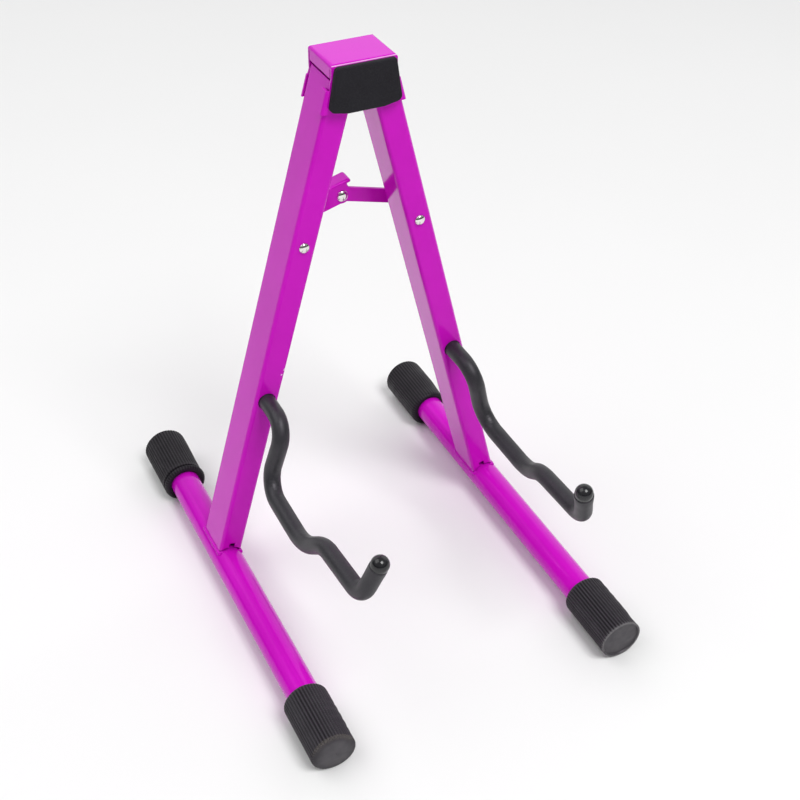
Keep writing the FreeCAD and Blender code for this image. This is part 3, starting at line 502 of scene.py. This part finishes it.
def ring_at(m, sample, radius_of, count):
    y, z, a, k, length = sample
    centre = Vector((0, y, z))
    across = Vector((0, -math.sin(a), math.cos(a)))     # towards the bend's left
    side = Vector((1, 0, 0))
    out = []
    for i in range(count):
        t = 2 * math.pi * i / count
        d = across * math.cos(t) + side * math.sin(t)
        out.append(m @ ((centre + d * radius_of(t, length, k)) * MM))
    return out


def smooth_curvature(samples, span=5.0):
    """Spreads the bends' curvature a little, so that creases fade in and out."""
    out = []
    for i, s in enumerate(samples):
        total = weight = 0.0
        for j in range(max(0, i - 14), min(len(samples), i + 15)):
            d = abs(samples[j][4] - s[4])
            if d < span:
                w = 1 - d / span
                total += w * samples[j][3]
                weight += w
        out.append((s[0], s[1], s[2], total / weight, s[4]))
    return out


def arm_sleeve(side, s):
    """Foam tube: a soft skin that creases inside the tight bends."""
    m = leg_frame(s)
    samples = smooth_curvature(centreline(-(HALF_DEPTH - 2.6), 16.1, 18.0, 0.55))
    total = samples[-1][4]
    seed = 11.0 * s

    def radius(t, length, k):
        r = 5.35
        # inside of a bend: compressed, with shallow creases; outside: stretched
        inner = math.cos(t) * (1 if k > 0 else -1)
        bend = min(1.0, abs(k) * 14.0)
        crease = max(0.0, inner) ** 3 * bend
        wander = noise.noise(Vector((length * 0.35, seed, math.sin(t) * 0.8)))
        r -= 0.08 * crease * (0.5 + 0.5 * math.sin(length * 2.1 + 2.4 * wander + seed))
        r += 0.05 * crease
        r -= 0.07 * max(0.0, -inner) * bend
        r += 0.045 * noise.noise(Vector((length * 0.12, math.cos(t) * 1.3 + seed, math.sin(t) * 1.3)))
        # swollen over the rod's end
        r += (0.4 if s > 0 else 0.12) * ease(length, total - 10.0, total - 2.0)
        return r

    count = 40
    rings = []
    inner_rings = []
    for sample in samples:
        rings.append(ring_at(m, sample, radius, count))
    # turned-in lip at the tip end
    end = samples[-1]
    lip = []
    for q in range(1, 6):
        a = math.radians(18 * q)
        push = (end[0] + math.cos(end[2]) * 0.55 * math.sin(a), end[1] + math.sin(end[2]) * 0.55 * math.sin(a),
                end[2], end[3], end[4])
        back = (push[0] - math.cos(end[2]) * 0.55, push[1] - math.sin(end[2]) * 0.55, end[2], end[3], end[4])
        lip.append(ring_at(m, back, lambda t, l, k, a=a: radius(t, l, k) - 0.55 * (1 - math.cos(a)), count))
    rings = rings[:-1] + lip
    inner = ring_at(m, end, lambda t, l, k: 3.06, count)
    rings.append(inner)
    bore = centreline(-(HALF_DEPTH - 2.6), 16.1, 18.0, 1.4)
    for sample in reversed(bore[:-1]):
        rings.append(ring_at(m, sample, lambda t, l, k: 3.06, count))
    bm = bmesh.new()
    made = grid_surface(bm, rings, False, False)
    for i in range(count):
        j = (i + 1) % count
        bm.faces.new((made[-1][i], made[-1][j], made[0][j], made[0][i]))
    ob = finish_mesh(side + "_arm_foam", bm, side + "_leg", "foam_sleeve", (side + "_arm_sleeve",), smooth=50.0)


def arm_rod(side, s):
    """Bent rod with a collar inside the leg and a threaded stud behind it."""
    m = leg_frame(s)
    start = HALF_DEPTH + ROD_BACK
    stud = ROD_BACK + 1.2
    samples = centreline(start, 13.5 + 2 * HALF_DEPTH + ROD_BACK, 21.5, 1.0)
    at = lambda q: (start - q, ARM_ROOT, math.pi, 0.0, q)

    def threaded(t, length, k):
        if length < 0.5:
            return 2.46 - (0.5 - length) * 0.9
        phase = (length / 0.8 - t / (2 * math.pi)) % 1.0
        return 2.47 - 0.4 * (1 - abs(2 * phase - 1)) ** 1.2

    rings = [ring_at(m, at(q * 0.1), threaded, 36) for q in range(0, int(stud * 10) - 1)]
    for q, r in ((stud - 0.05, 2.46), (stud, 2.46), (stud, 4.5), (stud + 0.3, 4.8), (stud + 2.1, 4.8),
                 (stud + 2.4, 4.5), (stud + 2.4, 2.98)):
        rings.append(ring_at(m, at(q), lambda t, l, k, r=r: r, 36))
    rings += [ring_at(m, x, lambda t, l, k: 2.98, 36) for x in samples if x[4] > stud + 3.0]
    bm = bmesh.new()
    grid_surface(bm, rings)
    finish_mesh(side + "_arm_stud", bm, side + "_leg", "zinc_steel", (side + "_arm_rod",), smooth=40.0)


def arm_tip(side, s):
    """Glossy ball end with a short skirt."""
    samples = centreline(-(HALF_DEPTH - 2.6), 16.1, 18.0, 2.0)
    y, z, a, k, length = samples[-1]
    direction = Vector((0, math.cos(a), math.sin(a)))
    m = leg_frame(s) @ Matrix.Translation(Vector((0, y, z)) * MM) @ direction.to_track_quat("Z", "X").to_matrix().to_4x4()
    r = 5.34
    profile = [(3.06, 3.5), (3.06, 0.3), (3.3, 0.06), (r - 0.6, 0.06)]
    profile += arc_points(r - 0.5, 0.56, 0.5, -90, 0, 4)
    profile += arc_points(0, 2.0, r, 0, 90, 18)[:-1] + [(0, 2.0 + r)]
    bm = bmesh.new()
    profile = [(0, 3.5)] + profile
    lathe(bm, profile, m, 56)
    finish_mesh(side + "_arm_ball", bm, side + "_leg", "tip_plastic", (side + "_arm_tip",))


def hex_nut(name, body, node, m, across, height, bore, slot="zinc_steel"):
    """Hexagon nut along Z of m: corners turned off, countersunk thread."""
    flat = across / 2
    count = 72

    def hex_r(t):
        q = (t % (math.pi / 3)) - math.pi / 6
        return flat / math.cos(q)

    ch = flat * 1.015
    crown = flat / math.cos(math.pi / 6)
    rings = []

    def ring(h, f):
        rings.append([m @ (Vector((f(t) * math.cos(t), f(t) * math.sin(t), h)) * MM)
                      for t in (2 * math.pi * i / count for i in range(count))])
    steps = 5
    for q in range(steps + 1):
        lim = ch + (crown - ch) * q / steps
        ring((crown - ch) * 0.55 * q / steps, lambda t, lim=lim: min(hex_r(t), lim))
    for q in range(steps, -1, -1):
        lim = ch + (crown - ch) * q / steps
        ring(height - (crown - ch) * 0.55 * q / steps, lambda t, lim=lim: min(hex_r(t), lim))
    ring(height, lambda t: bore + 0.45)
    ring(height - 0.45, lambda t: bore)
    turns = int(height / 0.25) - 4
    for q in range(turns + 1):
        h = (height - 0.55) - (height - 1.1) * q / turns
        ring(h, lambda t, h=h: bore + 0.02 + 0.22 * (1 - abs(2 * ((h - t / (2 * math.pi)) % 1.0) - 1)))
    ring(0.45, lambda t: bore)
    ring(0.0, lambda t: bore + 0.45)
    bm = bmesh.new()
    made = grid_surface(bm, rings, False, False)
    for i in range(count):
        j = (i + 1) % count
        bm.faces.new((made[-1][i], made[-1][j], made[0][j], made[0][i]))
    finish_mesh(name, bm, body, slot, (node,), smooth=28.0)


def ring_piece(name, body, node, m, outer, inner, thick, slot="zinc_steel", ease=0.18):
    """Washer or spacer along Z of m, with eased edges."""
    o = arc_points(outer - ease, thick - ease, ease, 0, 90, 3) + arc_points(inner + ease, thick - ease, ease, 90, 180, 3)
    o += arc_points(inner + ease, ease, ease, 180, 270, 3) + arc_points(outer - ease, ease, ease, 270, 360, 3)
    bm = bmesh.new()
    lathe(bm, o, m, 72)
    finish_mesh(name, bm, body, slot, (node,))


def arm_fastenings(side, s):
    base = leg_frame(s)
    body = side + "_leg"
    back = Matrix.Rotation(-math.pi / 2, 4, "X")      # Z of the piece along +Y of the leg
    at = lambda y: base @ Matrix.Translation(Vector((0, y, ARM_ROOT)) * MM) @ back
    ring_piece(side + "_arm_plain_washer", body, side + "_arm_washer", at(HALF_DEPTH), 4.5, 2.55, 0.8)
    hex_nut(side + "_arm_hex_nut", body, side + "_arm_nut", at(HALF_DEPTH + 0.8), 8.0, 2.7, 2.55)


# ------------------------------------------------------------------- rivets
def dome(radius, height, flat=0.0, count=10):
    """(radius, height) pairs of a domed head, from its rim to its crown."""
    out = [(radius - 0.12, 0.0), (radius, 0.14)]
    for i in range(1, count):
        a = math.pi / 2 * i / count
        out.append((flat + (radius - flat) * math.cos(a), 0.14 + (height - 0.14) * math.sin(a)))
    out.append((0.0, height))
    return out


def rivet(name, body, node, x, z, front, rim_front, rim_back, shank, back):
    """Lathe along +Y. front and back are head outlines or None for a cut end."""
    profile = []
    if front:
        profile += [(r, rim_front - h) for r, h in reversed(front)]
        profile.append((shank, rim_front))
    else:
        profile += [(0.0, rim_front), (shank, rim_front)]
    if back:
        profile.append((shank, rim_back))
        profile += [(r, rim_back + h) for r, h in back]
    else:
        profile += [(shank, rim_back), (0.0, rim_back)]
    bm = bmesh.new()
    lathe(bm, profile, along_y(x, z), 56)
    finish_mesh(name, bm, body, "rivet_plate", (node,))


# ------------------------------------------------------------------ caps
def ease(v, a, b):
    """Smooth step from 0 at a to 1 at b."""
    u = max(0.0, min(1.0, (v - a) / (b - a)))
    return u * u * (3 - 2 * u)


def foot_cap(side, s, end):
    """Ribbed rubber cap: fine lengthwise ribs, rounded mouth, closed end.
    Each of the four has its own small unevenness."""
    node = "%s_%s_foot_cap" % (side, end)
    e = -1 if end == "front" else 1
    corner = side[0] + end[0]
    per = 10
    count = RIBS * per
    seed = {"lf": 3.1, "rf": 7.7, "lr": 7.3, "rr": 11.9}[corner]
    rib = {"lf": 0.5, "rf": 0.55, "lr": 0.42, "rr": 0.2}[corner]
    edge = {"lf": 0.9, "rf": 0.3, "lr": 1.6, "rr": 2.2}[corner]

    def trim(d, t):
        """How far the radius departs from the plain cap's, distance d from the end."""
        facing = max(0.0, math.cos(t - 0.6))
        under = max(0.0, math.cos(t - 3.6))
        if corner == "lf":
            # drawn in on its upper inner side, more so at the end, with shallow dents
            out = -facing ** 1.5 * (1.7 + 0.5 * (1 - ease(d, 1.0, 24.0)))
            out -= 0.3 * facing * ease(d, 6.0, 10.0) * (1 - ease(d, 32.0, 38.0)) * (0.5 + 0.5 * math.sin(d * 1.05))
            return out
        if corner == "rf":
            # flares to a sharp end edge
            out = -0.35 * ease(d, 0.5, 4.0) - 0.12 * facing * (0.5 + 0.5 * math.sin(d * 0.8 + 1.0))
            return out - 0.9 * under ** 1.5 - 0.5 * facing ** 2 * (1 - ease(d, 6.0, 16.0))
        if corner == "lr":
            # a deep groove and a thin bead at the mouth
            body = -0.7 * facing * ease(d, 6.0, 36.0) * (1 - ease(d, 42.6, 43.4))
            return body - 1.7 * (ease(d, 41.3, 42.1) - ease(d, 42.7, 43.5))
        # narrows towards the mouth on its upper outer side
        return -1.1 * facing ** 1.3 * ease(d, 22.0, 40.0) + 0.25 * facing * ease(d, 36.0, 44.0)

    # outline from the rim of the end face to the mouth: distance from the end, radius, rib depth
    outline = []
    for q in range(0, 7):
        a = math.radians(90 - 15 * q)
        outline.append((edge - edge * math.sin(a), 14.8 - edge + edge * math.cos(a), rib * q / 6))
    lengths = [edge + (46 - 2.6 - edge) * q / 43 for q in range(1, 44)]
    if corner == "lr":
        lengths = sorted(lengths + [41.0, 41.2, 41.45, 41.7, 41.95, 42.2, 42.6, 42.8, 43.05, 43.25])
    for d in lengths:
        fade = 1 - ease(d, 38.0, 41.0) if corner == "lr" else 1
        outline.append((d, 14.8, rib * fade))
    for q in range(1, 8):
        a = math.radians(13 * q)
        outline.append((46 - 2.6 + 2.5 * math.sin(a), 14.8 - 2.3 * (1 - math.cos(a)),
                        0.0 if corner == "lr" else rib * (1 - q / 7) ** 0.7))
    rings = []
    face_r = outline[0][1]

    def face_depth(r):
        if corner == "lf":
            return 0.05 + 1.9 * (r / face_r) ** 2.2
        inner = face_r - 1.15
        if r < inner - 0.5:
            return 0.95 - 0.35 * (1 - (r / inner) ** 2)
        return 0.95 * (1 - ease(r, inner - 0.5, inner))
    for q in range(1, 26):
        r = face_r * q / 26
        rings.append((face_depth(r), r, 0.0))
    for r in (face_r - 1.15, face_r - 0.8, face_r - 0.4):
        rings.append((face_depth(r), r, 0.0))
    rings.sort(key=lambda v: v[1])
    if corner == "lf":
        shift = face_depth(face_r)
        outline = [(d + shift * max(0.0, 1 - d / 8.0), r, k) for d, r, k in outline]
    rings += outline
    rings += [(45.4, 12.2, 0.0), (45.55, 11.2, 0.0), (45.3, 10.35, 0.0), (44.6, 10.06, 0.0), (30.0, 10.06, 0.0),
              (4.0, 10.06, 0.0), (4.0, 5.0, 0.0)]
    cx = s * FOOT_HALF_GAP
    bm = bmesh.new()
    made = []
    for index, (d, r, k) in enumerate(rings):
        ring = []
        bore = index >= len(rings) - 7
        for i in range(count):
            t = 2 * math.pi * i / count
            u = (i % per) / per
            groove = max(0.0, 1 - abs(u - 0.5) / 0.34) ** 0.7
            wob = noise.noise(Vector((math.cos(t) * 2, math.sin(t) * 2, d * 0.09 + seed)))
            rr, dd = r, d
            if not bore:
                rr += trim(d, t) * min(1.0, r / 14.8) - k * groove - (0.05 + 0.05 * wob) * (1 if r > 12 else 0)
                lump = noise.noise(Vector((math.cos(t) * 0.9 + seed, math.sin(t) * 0.9, 0.0)))
                uneven = {"lf": 0.25, "rf": 0.2, "lr": 0.45, "rr": 0.3}[corner]
                dd += uneven * (0.5 + 0.5 * lump) * (r / 14.8) * max(0.0, 1 - d / 12.0)
                if corner == "lf":
                    dd += 0.8 * (1 - ease(d, 0.0, 20.0))
            # the front pair is pushed a little further on
            dd -= {"lf": 1.0, "rf": 1.8}.get(corner, 0.0) * ease(d, 20.0, 44.0)
            ring.append(bm.verts.new(Vector((cx + rr * math.cos(t), e * (150.0 - dd), AXLE + rr * math.sin(t))) * MM))
        made.append(ring)
    for a, b in zip(made, made[1:]):
        for i in range(count):
            j = (i + 1) % count
            bm.faces.new((a[i], a[j], b[j], b[i]))
    for ring, d in ((made[0], rings[0][0]), (made[-1], 4.0)):
        c = bm.verts.new(Vector((cx, e * (150.0 - d), AXLE)) * MM)
        for i in range(count):
            bm.faces.new((ring[i], ring[(i + 1) % count], c))
    finish_mesh(node + "_ribbed", bm, side + "_leg", "cap_rubber", (node,), smooth=32.0,
                material="rear_cap_rubber" if end == "rear" else None)


# ---------------------------------------------------------------- head pad
def head_pad():
    """Foam plate: crowned a little, soft rim, slightly uneven."""
    top, bottom, shoulder, wt, wb, flat = 346.8, 320.0, 322.2, 17.9, 21.9, 11.0
    radii = (3.0, 3.0, 3.0, 3.0, 1.8, 2.3)
    front, back = BRACKET_FRONT - 3.6, BRACKET_FRONT
    corners = [(-wb, shoulder), (-flat, bottom), (flat, bottom), (wb, shoulder), (wt, top), (-wt, top)]
    sides = len(corners)
    outline = []
    per = 14
    for i in range(sides):
        p, a, b = Vector(corners[i]), Vector(corners[i - 1]), Vector(corners[(i + 1) % sides])
        corner = radii[i]
        u, v = (a - p).normalized(), (b - p).normalized()
        half = math.acos(max(-1, min(1, u.dot(v)))) / 2
        d = corner / math.tan(half)
        start, stop = p + u * d, p + v * d
        centre = p + (u + v).normalized() * (corner / math.sin(half))
        a0 = math.atan2(start.y - centre.y, start.x - centre.x)
        a1 = math.atan2(stop.y - centre.y, stop.x - centre.x)
        while a1 < a0:
            a1 += 2 * math.pi
        for q in range(per + 1):
            t = a0 + (a1 - a0) * q / per
            outline.append(centre + corner * Vector((math.cos(t), math.sin(t))))
        nxt = corners[(i + 1) % sides]
        w = Vector(corners[(i + 2) % sides])
        q0 = stop
        nu = (p - Vector(nxt)).normalized()
        nv = (w - Vector(nxt)).normalized()
        nh = math.acos(max(-1, min(1, nu.dot(nv)))) / 2
        q1 = Vector(nxt) + nu * (radii[(i + 1) % sides] / math.tan(nh))
        for k in range(1, 24):
            outline.append(q0.lerp(q1, k / 24))
    mid = Vector((0.0, (top + bottom) / 2))
    rings = []
    n = len(outline)

    def ring(inset, depth):
        out = []
        for p in outline:
            d = (p - mid)
            q = mid + d * max(0.0, 1 - inset / d.length)
            lump = 0.07 * noise.noise(Vector((q.x * 0.22, q.y * 0.22, depth)))
            out.append(Vector((q.x, depth + lump * (1 if depth < back - 0.5 else 0), q.y)) * MM)
        rings.append(out)
    ring(9.0, back)
    ring(0.35, back)
    ring(0.0, back - 0.35)
    ring(0.0, front + 1.5)
    for q in range(1, 7):
        a = math.radians(15 * q)
        ring(1.5 * (1 - math.cos(a)), front + 0.12 + 1.38 * (1 - math.sin(a)))
    for inset in (2.4, 3.6, 5.2, 7.2, 9.6, 12.4, 14.6):
        ring(inset, front + 0.12 * max(0.0, 1 - inset / 6.0))
    bm = bmesh.new()
    grid_surface(bm, rings)
    ob = finish_mesh("head_foam", bm, "head", "foam_pad", ("head_pad",), smooth=60.0)
    # pockets behind, round the rivets' heads
    for s in (-1, 1):
        cut = bmesh.new()
        lathe(cut, [(0, back - 1.7), (4.75, back - 1.7), (4.75, back + 1.1), (0, back + 1.1)],
              along_y(s * PIVOT_X, PIVOT_Z), 40)
        bmesh.ops.recalc_face_normals(cut, faces=cut.faces)
        me = bpy.data.meshes.new("cutter")
        cut.to_mesh(me)
        cut.free()
        cutter = bpy.data.objects.new("cutter", me)
        bpy.context.scene.collection.objects.link(cutter)
        mod = ob.modifiers.new("pocket", "BOOLEAN")
        mod.operation = "DIFFERENCE"
        mod.solver = "EXACT"
        mod.object = cutter
        bake(ob, "head_foam")
        bpy.data.objects.remove(cutter)
    for p in ob.data.polygons:
        p.use_smooth = True
    ob.data.set_sharp_from_angle(angle=math.radians(60))


# ------------------------------------------------------------------- welds
def weld_bead(side, s, sign):
    """Rippled bead where the leg's side meets the foot tube; sign -1 is the
    outer side and 1 the inner one, in the leg's own x towards the middle."""
    m = leg_frame(s)
    body = side + "_leg"
    x = -s * sign * HALF_WIDTH
    path = []
    # along the side, then a short turn round the front and back corners
    zs = lambda xx: math.sqrt(max(0.0, 10.0 ** 2 - xx * xx))
    n = 64
    y0, y1 = HALF_DEPTH - 0.2, -(HALF_DEPTH - 0.2)
    for q in range(9):
        a = math.radians(90 * q / 8)
        xx = x - math.copysign(2.2 * (1 - math.sin(a)), x)
        path.append((xx, y0 + 0.3 * math.cos(a), zs(xx)))
    for q in range(1, n):
        path.append((x, y0 + (y1 - y0) * q / n, zs(x)))
    for q in range(9):
        a = math.radians(90 - 90 * q / 8)
        xx = x - math.copysign(2.4 * (1 - math.sin(a)), x)
        path.append((xx, y1 - 0.3 * math.cos(a), zs(xx)))
    pts = [Vector(p) for p in path]
    rings = []
    count = 14
    length = 0.0
    for i, p in enumerate(pts):
        t = (pts[min(i + 1, len(pts) - 1)] - pts[max(i - 1, 0)]).normalized()
        if i:
            length += (p - pts[i - 1]).length
        out = Vector((p.x, 0, p.z)).normalized()
        sideways = t.cross(out).normalized()
        ripple = 0.5 + 0.5 * math.cos(length * 2 * math.pi / 1.9 + noise.noise(Vector((length * 0.3, s * 5.0, sign))) * 2.0)
        swell = 1.0 + 0.25 * noise.noise(Vector((length * 0.22, s * 3.0, sign * 2.0)))
        end = min(1.0, (i + 1) / 6.0, (len(pts) - i) / 6.0)
        r = (1.25 + 0.22 * ripple) * swell * math.sqrt(max(0.05, end))
        ring = []
        for k in range(count):
            a = 2 * math.pi * k / count
            flat = 0.75 if math.sin(a) > 0 else 0.4
            ring.append(m @ ((p + out * (0.15 + flat * r * math.sin(a)) + sideways * r * math.cos(a)) * MM))
        rings.append(ring)
    bm = bmesh.new()
    grid_surface(bm, rings)
    finish_mesh("%s_%s_weld" % (side, "outer" if sign < 0 else "inner"), bm, body, "purple_paint", (), material="weld",
                smooth=80.0)


# -------------------------------------------------------------------- build
for side, s in SIDES:
    arm_sleeve(side, s)
    arm_rod(side, s)
    arm_tip(side, s)
    arm_fastenings(side, s)
    for end in ("front", "rear"):
        foot_cap(side, s, end)
    for sign in (-1, 1):
        weld_bead(side, s, sign)

head_pad()
refined("head_bracket_eased", "head_bracket", "head", "purple_paint", 0.28, material="bracket_paint")
refined("left_link_eased", "left_link", "left_link", "purple_paint", 0.3)
refined("right_link_eased", "right_link", "right_link", "purple_paint", 0.3)

rivet("left_leg_rivet_domed", "left_leg", "left_leg_rivet", -LINK_X, LINK_Z, dome(3.3, 2.0), LEG_FRONT,
      PLATE_BACK + 0.1, 2.0, dome(3.2, 1.5, 0.6))
rivet("right_leg_rivet_domed", "right_leg", "right_leg_rivet", LINK_X, LINK_Z, dome(3.3, 2.0), LEG_FRONT,
      PLATE_BACK, 2.0, None)
rivet("right_leg_rivet_peened", "right_link", "right_leg_rivet_tail", LINK_X, LINK_Z, None, STRIP_FRONT,
      STRIP_BACK, 2.0, dome(3.2, 1.5, 0.6))
rivet("centre_rivet_domed", "left_link", "centre_rivet", 0.0, MID_Z, dome(3.65, 2.0), PLATE_FRONT, STRIP_BACK + 0.1, 2.0,
      dome(3.2, 1.5, 0.6))
for side, s in SIDES:
    rivet(side + "_head_rivet_domed", "head", side + "_head_rivet", s * PIVOT_X, PIVOT_Z,
          [(4.5, 0.0), (4.5, 0.7), (4.2, 1.15), (3.8, 1.3), (0.0, 1.3)], BRACKET_FRONT, BRACKET_BACK, 2.5,
          dome(4.2, 1.8, 1.0))
for name, body, node, x, thick in (("left_link_plain_washer", "left_leg", "left_link_washer", -LINK_X, 0.8),
                                   ("right_link_tube_spacer", "right_leg", "right_link_spacer", LINK_X, 3.1)):
    ring_piece(name, body, node, Matrix.Translation(Vector((x, LEG_BACK, LINK_Z)) * MM)
               @ Matrix.Rotation(-math.pi / 2, 4, "X"), 5.0, 2.05, thick)

# the nodes that keep their own shape get their finish
for side, s in SIDES:
    for node in (side + "_leg", side + "_foot_tube"):
        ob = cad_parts[node]
        ob.data.materials.clear()
        ob.data.materials.append(MATS["tube_paint" if node.endswith("tube") else "leg_paint"])


# -------------------------------------------------------------------- stage
def make_stage():
    bm = bmesh.new()
    bmesh.ops.create_grid(bm, x_segments=4, y_segments=4, size=6.0)
    me = bpy.data.meshes.new("floor")
    bm.to_mesh(me)
    bm.free()
    me.materials.append(MATS["floor"])
    floor = bpy.data.objects.new("floor", me)
    floor.location = (0, 0, 0)
    bpy.context.scene.collection.objects.link(floor)
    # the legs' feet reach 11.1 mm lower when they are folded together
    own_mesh(floor)

    def area(name, loc, target, size, power, color=(1, 1, 1)):
        data = bpy.data.lights.new(name, "AREA")
        data.shape = "RECTANGLE"
        data.size, data.size_y = size
        data.energy = power
        data.color = color
        ob = bpy.data.objects.new(name, data)
        ob.location = loc
        ob.rotation_mode = "QUATERNION"
        ob.rotation_quaternion = (Vector(loc) - Vector(target)).to_track_quat("Z", "Y")
        bpy.context.scene.collection.objects.link(ob)

    area("key", (0.43, -1.75, 3.12), (0, 0, 0.1), (1.5, 1.5), 76.0)
    area("side", (-1.8, 0.72, 3.03), (0, 0, 0.1), (2.5, 2.5), 37.0)
    world = bpy.data.worlds.new("studio")
    world.use_nodes = True
    tree = world.node_tree
    bg = tree.nodes["Background"]
    bg.inputs["Color"].default_value = (1.0, 1.0, 1.0, 1.0)

    def node(kind, **inputs):
        n = tree.nodes.new(kind)
        for key, v in inputs.items():
            socket = n.inputs[int(key[1:])]
            if hasattr(v, "links"):
                tree.links.new(v, socket)
            else:
                socket.default_value = v
        return n

    def step(value, a, b):
        n = node("ShaderNodeMapRange", i0=value, i1=a, i2=b, i3=0.0, i4=1.0)
        n.interpolation_type = "SMOOTHSTEP"
        return n.outputs[0]

    def calc(op, a, b):
        n = node("ShaderNodeMath", i0=a, i1=b)
        n.operation = op
        return n.outputs[0]

    # a pale screen stands behind on the right, up to about 46 degrees
    sky = node("ShaderNodeSeparateXYZ", i0=tree.nodes.new("ShaderNodeTexCoord").outputs["Generated"]).outputs
    across = calc("ADD", calc("MULTIPLY", sky[0], 0.4226), calc("MULTIPLY", sky[1], 0.9063))
    level = calc("SQRT", calc("SUBTRACT", 1.0, calc("MULTIPLY", sky[2], sky[2])), 0.0)
    facing = calc("DIVIDE", across, calc("MAXIMUM", level, 0.05))
    screen = calc("MULTIPLY", step(sky[2], 0.76, 0.70), step(facing, 0.40, 0.62))
    room = calc("ADD", calc("MULTIPLY", step(sky[2], 0.14, 0.36), 0.32), 0.04)
    bright = calc("ADD", calc("MULTIPLY", screen, 0.78), room)
    # beyond the floor's far edge the eye sees a plain pale wall
    seen = tree.nodes.new("ShaderNodeLightPath").outputs["Is Camera Ray"]
    wall = node("ShaderNodeMapRange", i0=seen, i1=0.0, i2=1.0, i3=bright, i4=0.44)
    tree.links.new(wall.outputs[0], bg.inputs["Strength"])
    bpy.context.scene.world = world
    view = bpy.context.scene.view_settings
    view.view_transform = "Standard"
    view.look = "None"
    view.exposure = 0.0
    view.gamma = 1.0


make_stage()
